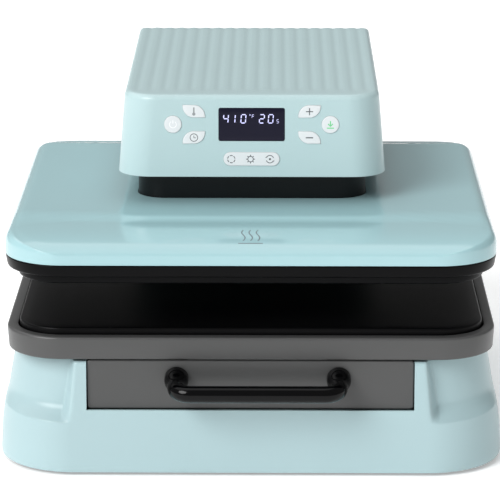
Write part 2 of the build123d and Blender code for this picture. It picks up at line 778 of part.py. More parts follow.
def screw_bearing():
    """Ball bearing in the arm plate."""
    return sleeve(BEARING_RADIUS, SCREW_RADIUS + RUNNING_FIT, ARM_PLATE_LOW, GEARBOX_LOW)


def gearbox():
    """Worm gearbox whose hollow output drives the screw."""
    width, depth, height = GEARBOX
    body = slab(width, depth, 6, GEARBOX_LOW, GEARBOX_LOW + height)
    return body - post(SCREW_RADIUS + RUNNING_FIT, GEARBOX_LOW - 1, SCREW_TOP + 1)


def press_motor():
    """Motor that lies along the arm behind the gearbox."""
    front = PRESS_Y + GEARBOX[1] / 2
    middle = Pos(0, front + MOTOR_LENGTH / 2, GEARBOX_LOW + GEARBOX[2] / 2)
    return middle * Rot(90, 0, 0) * Cylinder(MOTOR_RADIUS, MOTOR_LENGTH)


# Arm casing and its closing panels

def arm_outline(inset):
    """Side outline of the arm and column, rounded where the top turns down the back."""
    top = ARM_TOP - inset
    back = COLUMN_BACK - inset
    face_x = ARM_FRONT + inset
    low = DECK_TOP - (1 if inset else 0)
    outline = Polyline(
        (face_x - ARM_LEAN * (ARM_LOW - low) / ARM_HEIGHT, low),
        (face_x + ARM_LEAN, top),
        (back, top),
        (back, low),
        close=True,
    )
    face = make_face(outline)
    corner = face.vertices().sort_by(Axis.X)[-2:].sort_by(Axis.Y)[-1]
    return fillet(corner, ARM_BACK_RADIUS - inset)


def arm_plan(width, inset, z):
    """Level section of the arm: wide corners at the front and tight ones at the back."""
    depth = COLUMN_BACK - ARM_FRONT - 2 * inset
    section = Pos(0, (COLUMN_BACK + ARM_FRONT) / 2, z) * Rectangle(width - 2 * inset, depth)
    section = fillet(section.vertices().sort_by(Axis.Y)[:2], ARM_CORNER - inset)
    return fillet(section.vertices().sort_by(Axis.Y)[-2:], ARM_BACK_CORNER - inset)


def arm_form(inset):
    """Outside of the arm casing, or its hollow when drawn in by the wall."""
    side = extrude(Plane.YZ * arm_outline(inset), ARM_WIDTH, both=True)
    front = ARM_FRONT - 40
    low = DECK_TOP - (1 if inset else 0)
    lower = extrude(arm_plan(ARM_WIDTH, inset, low), ARM_LOW - low)
    upper = loft(
        [arm_plan(ARM_WIDTH, inset, ARM_LOW), arm_plan(ARM_TOP_WIDTH, inset, ARM_TOP - inset)], ruled=True
    )
    form = (lower + upper) & side
    return form - block((-ARM_WIDTH, ARM_WIDTH), (front, COLUMN_FRONT), (low - 1, ARM_LOW))


def rib_grooves():
    """Shallow grooves that run over the top of the arm and down its back."""
    profile = offset(arm_outline(0), LOOSE_GAP) - offset(arm_outline(0), -RIB_DEPTH)
    front = ARM_FRONT + ARM_LEAN + RIB_FRONT_MARGIN
    keep = Pos((front + 300) / 2, (RIB_LOW + 400) / 2) * Rectangle(300 - front, 400 - RIB_LOW)
    profile = profile & keep
    grooves = []
    for index in range(RIB_COUNT):
        x = (index - (RIB_COUNT - 1) / 2) * RIB_PITCH
        grooves.append(Pos(x, 0, 0) * extrude(Plane.YZ * profile, RIB_WIDTH / 2, both=True))
    return grooves


def casing_points():
    """Places of the screws that hold the arm casing: two under the arm, two in the column."""
    under_arm = (ARM_WIDTH / 2 - ARM_WALL - 4.75, PRESS_Y + 90)
    in_column = (ARM_WIDTH / 2 - ARM_WALL - 3.5, COLUMN_FRONT + 24)
    return [(side * x, y) for side in (-1, 1) for x, y in (under_arm, in_column)]


def arm_casing():
    """One-piece casing of console, arm and column, open below and towards the head."""
    casing = arm_form(0) - arm_form(ARM_WALL)
    casing -= rib_grooves()
    for x, y in casing_points():
        low = ARM_LOW + ARM_WALL if y < COLUMN_FRONT else DECK_TOP
        casing += post(BOSS_RADIUS, low, low + BOSS_HEIGHT, x, y)
        casing -= post(CASE_SCREW_RADIUS, low - 1, low + CASE_SCREW_LENGTH, x, y)
    for outline in key_outlines().values():
        casing -= on_panel(offset(outline, MOVING_GAP), ARM_WALL + 2, ARM_WALL + 4)
    casing -= on_panel(window_outline(0.2), ARM_WALL + 2, ARM_WALL + 4)
    for x, size in ((INLET_X, INLET_SIZE), (SWITCH_X, SWITCH_SIZE)):
        casing -= Pos(x, COLUMN_BACK, SOCKET_Z) * Box(size[0] + 0.4, 3 * ARM_WALL, size[1] + 0.4)
    return casing


def arm_underside():
    """Panel under the arm with the hole that the neck runs through."""
    panel = arm_form(ARM_WALL + MOVING_GAP) & block(
        (-ARM_WIDTH, ARM_WIDTH), (ARM_FRONT, COLUMN_FRONT), (ARM_LOW, ARM_LOW + ARM_WALL)
    )
    panel -= slab(
        NECK_WIDTH + 2 * LOOSE_GAP,
        NECK_DEPTH + 2 * LOOSE_GAP,
        NECK_CORNER + LOOSE_GAP,
        ARM_LOW - 1,
        ARM_LOW + 2 * ARM_WALL,
    )
    for x, y in casing_points():
        panel -= post(CASE_SCREW_RADIUS, ARM_LOW - 1, ARM_LOW + 2 * ARM_WALL, x, y)
    return panel


def column_front():
    """Panel that closes the column towards the head."""
    half = ARM_WIDTH / 2 - ARM_WALL - MOVING_GAP
    return block((-half, half), (COLUMN_FRONT, COLUMN_FRONT + ARM_WALL), (DECK_TOP, ARM_LOW))


def casing_screws():
    """Screws up through the arm's underside and through the deck into the column."""
    screws = []
    for x, y in casing_points():
        seat = ARM_LOW if y < COLUMN_FRONT else DECK_TOP - BASE_WALL
        tip = (ARM_LOW + ARM_WALL if y < COLUMN_FRONT else DECK_TOP) + CASE_SCREW_LENGTH - 1
        screws.append(
            post(CASE_SCREW_RADIUS, seat, tip, x, y) + post(2 * CASE_SCREW_RADIUS, seat - 2, seat, x, y)
        )
    return Part() + screws


# Control panel

def leaf_outline(mirrored):
    """Key shaped like a leaf: two pointed corners and two swept ones."""
    half_w, half_h = LEAF_WIDTH / 2, LEAF_HEIGHT / 2
    turn = LEAF_FLAT - half_w
    bulge = (LEAF_WIDTH - LEAF_FLAT) * 0.36
    leaf = make_face(
        Polyline((turn, half_h), (-half_w, half_h))
        + ThreePointArc((-half_w, half_h), (-half_w + bulge, -0.1 * half_h), (-turn, -half_h))
        + Polyline((-turn, -half_h), (half_w, -half_h))
        + ThreePointArc((half_w, -half_h), (half_w - bulge, 0.1 * half_h), (turn, half_h))
    )
    return mirror(leaf, about=Plane.YZ) if mirrored else leaf


def key_outlines():
    """Outline of each key, placed on the console face."""
    high, low = BUTTON_ROW + LEAF_RISE, BUTTON_ROW - LEAF_RISE
    return {
        "power_key": Pos(-ROUND_BUTTON_X, BUTTON_ROW) * Circle(ROUND_BUTTON_RADIUS),
        "start_key": Pos(ROUND_BUTTON_X, BUTTON_ROW) * Circle(ROUND_BUTTON_RADIUS),
        "temperature_key": Pos(-LEAF_X, high) * leaf_outline(False),
        "time_key": Pos(-LEAF_X, low) * leaf_outline(True),
        "plus_key": Pos(LEAF_X, high) * leaf_outline(True),
        "minus_key": Pos(LEAF_X, low) * leaf_outline(False),
        "mode_key": Pos(0, MODE_ROW) * RectangleRounded(*MODE_SIZE, MODE_SIZE[1] / 2 - 0.01),
    }


def key_middle(outline):
    """Middle of a key's outline on the console face."""
    return Pos(*outline.bounding_box().center())


def key(outline):
    """Key cap with a flange behind the wall and a stem to its switch."""
    back = ARM_WALL + MOVING_GAP + BUTTON_FLANGE
    cap = on_panel(outline, back, back + BUTTON_PROUD)
    cap += on_panel(offset(outline, BUTTON_FLANGE), back, BUTTON_FLANGE)
    return cap + on_panel(key_middle(outline) * Circle(1.5), back + BUTTON_STEM, BUTTON_STEM)


def window_outline(grow):
    """Display window on the console face."""
    width, height = WINDOW_SIZE
    return Pos(0, BUTTON_ROW) * RectangleRounded(width + 2 * grow, height + 2 * grow, 1.5)


def display_window():
    """Smoked window flush with the console face."""
    return on_panel(window_outline(0), WINDOW_THICKNESS, WINDOW_THICKNESS)


def display_module():
    """Digit module between the window and the control board."""
    width, height = WINDOW_SIZE
    outline = Pos(0, BUTTON_ROW) * Rectangle(width - 6, height - 6)
    return on_panel(outline, BOARD_DEPTH, BOARD_DEPTH - WINDOW_THICKNESS)


def control_board():
    """Circuit board behind the console face."""
    width, height = BOARD_SIZE
    outline = Pos(0, height / 2 + 6) * Rectangle(width, height)
    return on_panel(outline, BOARD_DEPTH + BOARD_THICKNESS, BOARD_THICKNESS)


def tact_switches():
    """One small switch on the board behind each key."""
    stem_end = ARM_WALL + MOVING_GAP + BUTTON_FLANGE + BUTTON_STEM
    height = BOARD_DEPTH - stem_end - BUTTON_TRAVEL - MOVING_GAP
    bodies = [
        on_panel(key_middle(outline) * Rectangle(6, 6), BOARD_DEPTH, height)
        for outline in key_outlines().values()
    ]
    return Part() + bodies


# Power electronics, inlet and switch

def power_board():
    """Power board with transformer, relay and two capacitors, lying on the pan."""
    board = block((75, 165), (70, 170), (PAN_TOP + 5, PAN_TOP + 6.6))
    top = PAN_TOP + 6.6
    board += block((85, 120), (80, 110), (top, top + 24))
    board += block((130, 150), (80, 96), (top, top + 16))
    board += post(8.0, top, top + 22, 100, 140)
    board += post(8.0, top, top + 22, 125, 140)
    for x, y in ((78, 73), (162, 73), (78, 167), (162, 167)):
        board += post(2.5, PAN_TOP, PAN_TOP + 5, x, y)
    return board


def socket_body(x, size):
    """Rear fitting with a thin bezel outside the column's wall."""
    width, height, depth = size
    body = block(
        (x - width / 2, x + width / 2),
        (COLUMN_BACK - depth, COLUMN_BACK),
        (SOCKET_Z - height / 2, SOCKET_Z + height / 2),
    )
    return body + block(
        (x - width / 2 - 2.5, x + width / 2 + 2.5),
        (COLUMN_BACK, COLUMN_BACK + BEZEL),
        (SOCKET_Z - height / 2 - 2.5, SOCKET_Z + height / 2 + 2.5),
    )


def power_inlet():
    """Appliance inlet: open socket with three contact blades."""
    width, height, depth = INLET_SIZE
    back = COLUMN_BACK + BEZEL
    floor = COLUMN_BACK - depth + 4
    body = socket_body(INLET_X, INLET_SIZE)
    body -= block(
        (INLET_X - width / 2 + 1.5, INLET_X + width / 2 - 1.5),
        (floor, back + 1),
        (SOCKET_Z - height / 2 + 2, SOCKET_Z + height / 2 - 2),
    )
    for dx, dz in ((-7, 0), (0, 3), (7, 0)):
        x, z = INLET_X + dx, SOCKET_Z + dz
        body += block((x - 1, x + 1), (floor, floor + 10), (z - 2, z + 2))
    return body


def switch_housing():
    """Body of the rear rocker switch."""
    width, height, depth = SWITCH_SIZE
    body = socket_body(SWITCH_X, SWITCH_SIZE)
    return body - block(
        (SWITCH_X - width / 2 + 1.5, SWITCH_X + width / 2 - 1.5),
        (COLUMN_BACK - depth + 3, COLUMN_BACK + BEZEL + 1),
        (SOCKET_Z - height / 2 + 1.5, SOCKET_Z + height / 2 - 1.5),
    )


def rocker():
    """Rocker, standing in its on position; it swings about a level axis across the machine."""
    width, height, _ = SWITCH_SIZE
    length = height - 5
    section = make_face(
        Polyline((-2, -length / 2), (-2, length / 2), (-7, 2), (-7, -2), close=True)
    )
    face = [(-2, -length / 2), (0, -length / 2), (-0.8, 0), (0, length / 2), (-2, length / 2)]
    section += make_face(Polyline(*face, close=True))
    body = extrude(Plane.YZ * section, (width - 4) / 2, both=True)
    return Pos(SWITCH_X, COLUMN_BACK + BEZEL - 1.5, SOCKET_Z) * Rot(ROCKER_TILT, 0, 0) * body


PARTS = {
    "base_shell": base_shell,
    "base_pan": base_pan,
    "feet": feet,
    "pan_screws": pan_screws,
    "sole_plate": sole_plate,
    "frame_side_right": frame_side,
    "frame_side_left": frame_side_left,
    "frame_ties": frame_ties,
    "bed_plate": bed_plate,
    "slide_pads": slide_pads,
    "arm_plate": arm_plate,
    "frame_bolts": frame_bolts,
    "rail_brackets": rail_brackets,
    "outer_rails": outer_rails,
    "middle_rails": middle_rails,
    "inner_rails": inner_rails,
    "carriage": carriage,
    "drawer_front": drawer_front,
    "handle": handle,
    "handle_screws": handle_screws,
    "tray": tray,
    "tray_plate": tray_plate,
    "pad": pad,
    "heat_plate": heat_plate,
    "heating_element": heating_element,
    "insulation": insulation,
    "standoffs": standoffs,
    "thermostat": thermostat,
    "pressure_plate": pressure_plate,
    "rim": rim,
    "cover": cover,
    "neck": neck,
    "lift_tube": lift_tube,
    "lift_nut": lift_nut,
    "guide_rods": guide_rods,
    "guide_bushes": guide_bushes,
    "lead_screw": lead_screw,
    "screw_bearing": screw_bearing,
    "gearbox": gearbox,
    "press_motor": press_motor,
    "arm_casing": arm_casing,
    "arm_underside": arm_underside,
    "column_front": column_front,
    "casing_screws": casing_screws,
    "display_window": display_window,
    "display_module": display_module,
    "control_board": control_board,
    "tact_switches": tact_switches,
    "power_board": power_board,
    "power_inlet": power_inlet,
    "switch_housing": switch_housing,
    "rocker": rocker,
}

os.makedirs("parts", exist_ok=True)
for name, make in PARTS.items():
    export_step(make(), f"parts/{name}.step")
for name, outline in key_outlines().items():
    export_step(key(outline), f"parts/{name}.step")
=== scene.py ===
import bmesh
import bpy
import math
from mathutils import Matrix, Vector


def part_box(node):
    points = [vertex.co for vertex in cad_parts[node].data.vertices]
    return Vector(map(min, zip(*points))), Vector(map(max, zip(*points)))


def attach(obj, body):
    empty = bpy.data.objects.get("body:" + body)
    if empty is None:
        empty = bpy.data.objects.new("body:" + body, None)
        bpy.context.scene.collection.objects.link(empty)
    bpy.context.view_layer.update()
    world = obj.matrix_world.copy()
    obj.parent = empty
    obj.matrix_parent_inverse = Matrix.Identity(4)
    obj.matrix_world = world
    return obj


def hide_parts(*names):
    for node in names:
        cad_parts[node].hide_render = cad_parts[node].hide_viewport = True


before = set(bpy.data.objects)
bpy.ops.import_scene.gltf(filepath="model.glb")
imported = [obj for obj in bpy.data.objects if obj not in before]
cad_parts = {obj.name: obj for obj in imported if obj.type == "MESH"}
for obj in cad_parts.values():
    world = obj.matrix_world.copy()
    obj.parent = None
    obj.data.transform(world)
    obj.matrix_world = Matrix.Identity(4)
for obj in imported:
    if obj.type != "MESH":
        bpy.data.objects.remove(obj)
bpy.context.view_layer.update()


# ---------------------------------------------------------------- Base pan and feet
# The pan is a flat black moulding that closes the base from below; the panel under the arm is
# moulded in the same black. Four soft rubber discs with a dished face are bonded under the pan.

class Wire:
    """An output of a node that Python arithmetic works on."""

    def __init__(self, tree, socket):
        self.tree, self.socket = tree, socket

    def math(self, operation, *values):
        return self.tree.node("ShaderNodeMath", {"operation": operation}, dict(enumerate(values)))

    def __add__(self, other):
        return self.math("ADD", self, other)

    def __sub__(self, other):
        return self.math("SUBTRACT", self, other)

    def __rsub__(self, other):
        return self.math("SUBTRACT", other, self)

    def __mul__(self, other):
        return self.math("MULTIPLY", self, other)

    def __truediv__(self, other):
        return self.math("DIVIDE", self, other)

    def __lt__(self, other):
        return self.math("LESS_THAN", self, other)

    def __gt__(self, other):
        return self.math("GREATER_THAN", self, other)

    def __abs__(self):
        return self.math("ABSOLUTE", self)

    __radd__, __rmul__ = __add__, __mul__


class Nodes:
    """Adds nodes to a tree: settings first, then the values or wires of the sockets."""

    def node(self, kind, settings=None, sockets=None, out=0):
        made = self.tree.nodes.new(kind)
        for key, value in (settings or {}).items():
            setattr(made, key, value)
        for key, value in (sockets or {}).items():
            for one in value if isinstance(value, list) else [value]:
                self.feed(made.inputs[key], one)
        return Wire(self, made.outputs[out])

    def feed(self, socket, value):
        if isinstance(value, Wire):
            self.tree.links.new(value.socket, socket)
        else:
            socket.default_value = value


class Finish(Nodes):
    """A node material on the piece's own coordinates."""

    def __init__(self, name, **constants):
        self.material = bpy.data.materials.new(name)
        self.material.use_nodes = True
        self.tree = self.material.node_tree
        self.shader = self.tree.nodes["Principled BSDF"]
        for socket, value in constants.items():
            self.shader.inputs[socket.replace("_", " ")].default_value = value
        self.place = self.node("ShaderNodeTexCoord", out="Object")

    def noise(self, scale, detail=2.0, roughness=0.5, place=None):
        sockets = {"Vector": place or self.place, "Scale": scale}
        sockets.update({"Detail": detail, "Roughness": roughness})
        return self.node("ShaderNodeTexNoise", None, sockets)

    def stretched(self, x, y, z):
        """Coordinates scaled along each axis, for brushed and streaked patterns."""
        return self.node("ShaderNodeVectorMath", {"operation": "MULTIPLY"}, {0: self.place, 1: (x, y, z)})

    def mix(self, factor, first, second):
        return self.node("ShaderNodeMix", {"data_type": "RGBA"}, {0: factor, 6: first, 7: second}, out=2)

    def bump(self, height, strength, distance):
        sockets = {"Height": height, "Strength": strength, "Distance": distance}
        self.feed(self.shader.inputs["Normal"], self.node("ShaderNodeBump", None, sockets))

    def set(self, socket, value):
        self.feed(self.shader.inputs[socket], value)


def shade(red, green, blue, factor=1.0):
    """Shader colour from a swatch card's values, 0 to 255."""
    def linear(c):
        c /= 255
        return c / 12.92 if c <= 0.04045 else ((c + 0.055) / 1.055) ** 2.4
    return (linear(red) * factor, linear(green) * factor, linear(blue) * factor, 1.0)


def moulded(name, rgb, roughness, grain, depth, cloud=0.04, **constants):
    """Injection-moulded plastic or rubber: faint clouding, fine grain and uneven gloss."""
    finish = Finish(name, **constants)
    broad = finish.noise(9.0, 3.0)
    fine = finish.noise(grain, 3.0, 0.6)
    finish.set("Base Color", finish.mix(broad, shade(*rgb, 1 - cloud), shade(*rgb, 1 + cloud)))
    finish.set("Roughness", roughness + (fine - 0.5) * (0.15 * roughness) + (broad - 0.5) * 0.05)
    finish.bump(fine, depth, 0.0002)
    return finish.material


def worked(name, dark, light, roughness, spread, strength, depth, pattern, stretch=None, **constants):
    """Metal or board whose colour, gloss and relief follow one pattern (scale, detail, roughness)."""
    finish = Finish(name, **constants)
    grain = finish.noise(*pattern, place=finish.stretched(*stretch) if stretch else None)
    finish.set("Base Color", finish.mix(grain, shade(*dark), shade(*light)))
    finish.set("Roughness", roughness + grain * spread)
    finish.bump(grain, strength, depth)
    return finish.material


def mm(node):
    """Lowest and highest corner of a CAD node in millimetres."""
    low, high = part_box(node)
    return low * 1000, high * 1000


def outline(half_x, half_y, radius, middle=(0.0, 0.0), corner=12, side=1):
    """Rounded rectangle, anticlockwise from the right; side is the steps of each straight."""
    points = []
    turns = ((1, 1), (-1, 1), (-1, -1), (1, -1))
    for index, (sx, sy) in enumerate(turns):
        centre = Vector((sx * (half_x - radius), sy * (half_y - radius)))
        for step in range(corner + 1):
            angle = (index + step / corner) * math.pi / 2
            points.append(centre + radius * Vector((math.cos(angle), math.sin(angle))))
        nx, ny = turns[(index + 1) % 4]
        angle = (index + 1) * math.pi / 2
        after = Vector((nx * (half_x - radius), ny * (half_y - radius)))
        after += radius * Vector((math.cos(angle), math.sin(angle)))
        first = points[-1]
        points += [first.lerp(after, step / side) for step in range(1, side)]
    return [(p.x + middle[0], p.y + middle[1]) for p in points]


def softened(corners, steps=4, closed=False):
    """Path through corners (a, b, radius) with each corner turned into an arc."""
    path = []
    count = len(corners)
    for i, (a, b, radius) in enumerate(corners):
        here = Vector((a, b))
        if radius == 0 or (not closed and i in (0, count - 1)):
            path.append(tuple(here))
            continue
        before = (Vector(corners[i - 1][:2]) - here).normalized()
        after = (Vector(corners[(i + 1) % count][:2]) - here).normalized()
        half = before.angle(after) / 2
        reach = radius / math.tan(half)
        centre = here + (before + after).normalized() * (radius / math.sin(half))
        start, end = here + before * reach - centre, here + after * reach - centre
        sweep = start.angle_signed(end)
        for step in range(steps + 1):
            turn = -sweep * step / steps
            c, s = math.cos(turn), math.sin(turn)
            path.append((centre.x + start.x * c - start.y * s, centre.y + start.x * s + start.y * c))
    return path


def skin(rings, low_cap=True, high_cap=True, loop=False, drop=None):
    """Vertices and faces over rings of equally many points; drop(row, i) leaves a face out."""
    count = len(rings[0])
    vertices = [point for ring in rings for point in ring]
    faces = []
    for row in range(len(rings) if loop else len(rings) - 1):
        above = (row + 1) % len(rings)
        for i in range(count):
            j = (i + 1) % count
            if not (drop and drop(row, i)):
                faces.append((row * count + i, row * count + j, above * count + j, above * count + i))
    if low_cap:
        faces.append(tuple(reversed(range(count))))
    if high_cap:
        faces.append(tuple(range((len(rings) - 1) * count, len(rings) * count)))
    return vertices, faces


def smooth(made, sharp=35.0):
    """Smooth shading, but for edges sharper than the angle."""
    made.data.shade_smooth()
    made.data.set_sharp_from_angle(angle=math.radians(sharp))


def piece(name, shape, material, sharp=35.0):
    """Mesh object from vertices in millimetres and faces, smooth but for its sharp edges."""
    mesh = bpy.data.meshes.new(name)
    mesh.from_pydata([(x / 1000, y / 1000, z / 1000) for x, y, z in shape[0]], [], shape[1])
    mesh.validate()
    mesh.materials.append(material)
    made = bpy.data.objects.new(name, mesh)
    bpy.context.scene.collection.objects.link(made)
    smooth(made, sharp)
    return made


def settle(made, sharp=35.0):
    """Turns the object's modifiers into plain mesh."""
    graph = bpy.context.evaluated_depsgraph_get()
    mesh = bpy.data.meshes.new_from_object(made.evaluated_get(graph))
    made.modifiers.clear()
    made.data = mesh
    smooth(made, sharp)
    return made


def bordered(half_x, half_y, radius, middle, profile, **layout):
    """Rings of a rounded rectangle drawn in and raised as the profile's (inset, height) say."""
    steps = {"corner": layout.pop("corner", 12), "side": layout.pop("side", 1)}
    rings = []
    for inset, height in profile:
        corner = max(radius - inset, 0.2)
        flat = outline(half_x - inset, half_y - inset, corner, middle, **steps)
        rings.append([(x, y, height) for x, y in flat])
    return skin(rings, **layout)


def merged(*shapes):
    """Several shapes' vertices and faces as one."""
    vertices, faces = [], []
    for part_vertices, part_faces in shapes:
        start = len(vertices)
        vertices += part_vertices
        faces += [tuple(index + start for index in face) for face in part_faces]
    return vertices, faces


def part_of(made, body, slot, *nodes):
    """The piece rides on its body and stands for its CAD nodes, which it hides. Its slot is not used."""
    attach(made, body)
    if nodes:
        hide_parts(*nodes)
    return made


def paint(material, *nodes):
    """Gives CAD nodes that keep their own shape their finish."""
    for name in nodes:
        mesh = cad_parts[name].data
        mesh.materials.clear()
        mesh.materials.append(material)


FOOT_RADIUS = 14.0
FOOT_PLACES = [(x, y) for x in (-165, 165) for y in (-165.5, 206)]

black_satin = moulded("black satin moulding", (18, 18, 19), 0.38, 900.0, 0.3, Specular_IOR_Level=0.3)
foot_rubber = moulded("foot rubber", (36, 35, 34), 0.75, 500.0, 0.6)
paint(black_satin, "base_pan", "arm_underside")
foot_high = mm("feet")[1].z
foot_profile = softened([(9, 0.6, 0), (6, 0.6, 0.5), (4.5, 0, 0.6), (0, 0, 1.2), (0, foot_high, 0)])
foot_shapes = [
    bordered(FOOT_RADIUS, FOOT_RADIUS, FOOT_RADIUS, place, foot_profile, corner=10) for place in FOOT_PLACES
]
feet = piece("rubber_feet", merged(*foot_shapes), foot_rubber)
part_of(feet, "machine", "rubber_black", "feet")


# ---------------------------------------------------------------- Screws
# Zinc-plated pan-head screws with cross recesses, cold-headed and rolled. These hold the pan and
# the frame; the handle's are made with the handle, by the same function.

class Geometry(Nodes):
    """A geometry node tree whose named sizes are the modifier's inputs."""

    def __init__(self, name, **sizes):
        self.tree = bpy.data.node_groups.new(name, "GeometryNodeTree")
        face = self.tree.interface
        face.new_socket("Geometry", in_out="OUTPUT", socket_type="NodeSocketGeometry")
        face.new_socket("Geometry", in_out="INPUT", socket_type="NodeSocketGeometry")
        self.values = {}
        for size, value in sizes.items():
            kind = "NodeSocketInt" if isinstance(value, int) else "NodeSocketFloat"
            socket = face.new_socket(size, in_out="INPUT", socket_type=kind)
            self.values[socket.identifier] = value
        self.entry = self.tree.nodes.new("NodeGroupInput")
        self.exit = self.tree.nodes.new("NodeGroupOutput")

    def size(self, name):
        return Wire(self, self.entry.outputs[name])

    def vector(self, x, y, z):
        return self.node("ShaderNodeCombineXYZ", None, {0: x, 1: y, 2: z})

    def moved(self, shape, x=0.0, y=0.0, z=0.0, turn=(0.0, 0.0, 0.0)):
        sockets = {"Geometry": shape, "Translation": self.vector(x, y, z), "Rotation": turn}
        return self.node("GeometryNodeTransform", None, sockets)

    def joined(self, *shapes):
        return self.node("GeometryNodeJoinGeometry", None, {"Geometry": list(shapes)})

    def make(self, made, shape, material, sharp=35.0):
        """Runs the tree on an object, or on a new one of that name, and keeps the result."""
        real = self.node("GeometryNodeRealizeInstances", None, {"Geometry": shape})
        painted = self.node("GeometryNodeSetMaterial", None, {"Geometry": real, "Material": material})
        self.tree.links.new(painted.socket, self.exit.inputs[0])
        if isinstance(made, str):
            made = bpy.data.objects.new(made, bpy.data.meshes.new(made))
            bpy.context.scene.collection.objects.link(made)
        modifier = made.modifiers.new("making", "NODES")
        modifier.node_group = self.tree
        for identifier, value in self.values.items():
            modifier[identifier] = value
        settle(made, sharp)
        if not made.data.materials:
            made.data.materials.append(material)
        return made


zinc_finish = Finish("zinc-plated steel", Metallic=1.0)
zinc_cloud = zinc_finish.noise(60.0, 4.0)
zinc_finish.set("Base Color", zinc_finish.mix(zinc_cloud, shade(170, 172, 174), shade(205, 206, 208)))
zinc_finish.set("Roughness", 0.26 + zinc_cloud * 0.16)
zinc_finish.bump(zinc_finish.noise(700.0), 0.1, 0.0002)
zinc = zinc_finish.material


def screws(name, places, head_radius, head_height, shank_radius, length, turn):
    """Screws at their places, heads at the place and shanks along the turned axis."""
    tree = Geometry(
        name, Head=head_radius / 1000, Rise=head_height / 1000,
        Shank=shank_radius / 1000, Length=length / 1000,
    )
    head = tree.node(
        "GeometryNodeMeshCylinder", None,
        {"Vertices": 20, "Side Segments": 2, "Radius": tree.size("Head"), "Depth": tree.size("Rise")},
    )
    head = tree.moved(head, z=0 - tree.size("Rise") / 2)
    shank = tree.node(
        "GeometryNodeMeshCone", None,
        {"Vertices": 16, "Side Segments": 12, "Radius Top": tree.size("Shank") * 0.8,
         "Radius Bottom": tree.size("Shank"), "Depth": tree.size("Length")},
    )
    cross = []
    for long, wide in ((1.2, 0.28), (0.28, 1.2)):
        size = tree.vector(tree.size("Head") * long, tree.size("Head") * wide, tree.size("Rise"))
        slot = tree.node("GeometryNodeMeshCube", None, {"Size": size})
        cross.append(tree.moved(slot, z=0 - tree.size("Rise")))
    headed = tree.node("GeometryNodeMeshBoolean", {"operation": "DIFFERENCE", "solver": "EXACT"},
                       {"Mesh 1": head, "Mesh 2": cross})
    whole = tree.joined(headed, shank)
    whole = tree.node("GeometryNodeTransform", None, {"Geometry": whole, "Rotation": turn})
    spots = bpy.data.meshes.new(name + "_spots")
    spots.from_pydata([Vector(place) / 1000 for place in places], [], [])
    made = bpy.data.objects.new(name, spots)
    bpy.context.scene.collection.objects.link(made)
    spread = tree.node(
        "GeometryNodeInstanceOnPoints", None,
        {"Points": Wire(tree, tree.entry.outputs["Geometry"]), "Instance": whole},
    )
    return tree.make(made, spread, zinc)


UPWARD, DOWNWARD = (0.0, 0.0, 0.0), (math.pi, 0.0, 0.0)
PAN_SCREW_PLACES = [(x, y, mm("base_pan")[0].z) for x in (-185, 185) for y in (-120.5, 20, 200)]
pan_screws = screws("pan_screw_set", PAN_SCREW_PLACES, 3.0, 1.6, 1.5, 14.0, UPWARD)
part_of(pan_screws, "machine", "zinc_steel", "pan_screws")
sole_low, sole_high = mm("sole_plate")
BOLT_PLACES = [(x, y, sole_high.z) for x in (-32, 32) for y in (sole_low.y + 30, 40, sole_high.y - 60)]
bolts = screws("frame_bolt_set", BOLT_PLACES, 5.0, 3.5, 3.0, 6.0, DOWNWARD)
part_of(bolts, "machine", "zinc_steel", "frame_bolts")


# ---------------------------------------------------------------- Steel frame
# A laser-cut C-frame of mild steel plates, welded to a sole plate and a bed and left with its
# rolled, lightly oiled surface. White acetal slide strips lie on the bed, and the head's thermal
# cut-out has a white body too.

frame_finish = Finish("rolled steel plate", Metallic=0.9)
rolled = frame_finish.noise(40.0, 5.0, 0.6, frame_finish.stretched(1.0, 0.15, 1.0))
patches = frame_finish.noise(14.0, 4.0)
frame_finish.set("Base Color", frame_finish.mix(patches, shade(92, 95, 98), shade(128, 131, 134)))
frame_finish.set("Roughness", 0.32 + rolled * 0.25)
frame_finish.bump(rolled, 0.15, 0.0005)
paint(
    frame_finish.material, "sole_plate", "frame_side_right", "frame_side_left", "frame_ties", "bed_plate",
    "arm_plate", "pressure_plate", "carriage", "rail_brackets",
)
white_plastic = moulded("white acetal", (226, 226, 222), 0.35, 600.0, 0.15)
paint(white_plastic, "slide_pads", "thermostat")


# ---------------------------------------------------------------- Base casing
# One deep moulding in glossy mint ABS. Its sides bow inwards towards the deck, a soft crease
# runs round at half height, and above it the front corners are scooped back beside the drawer.

BASE_SIDES = (
    (3, 208.2), (3.6, 209.1), (5, 209.7), (8, 209.9), (34, 208.2),
    (49, 206), (70, 202.5), (90, 198.9), (97, 197.4),
)
BASE_CORNERS = ((3, 63), (49, 59.5), (97, 55.5))
DECK_CORNER = 58.0
CREASE, CREASE_DIP = 49.0, 3.6
SCOOP_DEPTH, SCOOP_RISE = 12.0, 13.0
CREASE_STEP = 1.0
MOUTH_HALF, SILL = 134.35, 56.25
JAMB_LOW, JAMB_HIGH, JAMB_ROUND = 147.0, 142.5, 9.0
DECK_SOFT = 2.4
OPENING_BACK = 155.0
SHELL_WALL = 3.0

DECK = 97.0
FRONT_LEAN, FRONT_STEP, BACK_LEAN = 3.2, 0.4, 2.0
FOOT_TURN, FOOT_CURVE = 8.0, 0.03


def mint_gloss(name, low, high):
    """Glossy mint moulding: faint clouding, fine grain and the slight waves of a sink-free wall."""
    finish = Finish(name, Coat_Weight=0.12, Coat_Roughness=0.12, Specular_IOR_Level=0.3)
    cloud, fine, wave = finish.noise(5.0, 3.0), finish.noise(1400.0, 2.0, 0.6), finish.noise(28.0, 2.0)
    finish.set("Base Color", finish.mix(cloud, shade(*low), shade(*high)))
    finish.set("Roughness", 0.30 + (cloud - 0.5) * 0.08 + (fine - 0.5) * 0.10)
    finish.bump(fine * 0.3 + wave * 0.7, 0.05, 0.0004)
    return finish.material


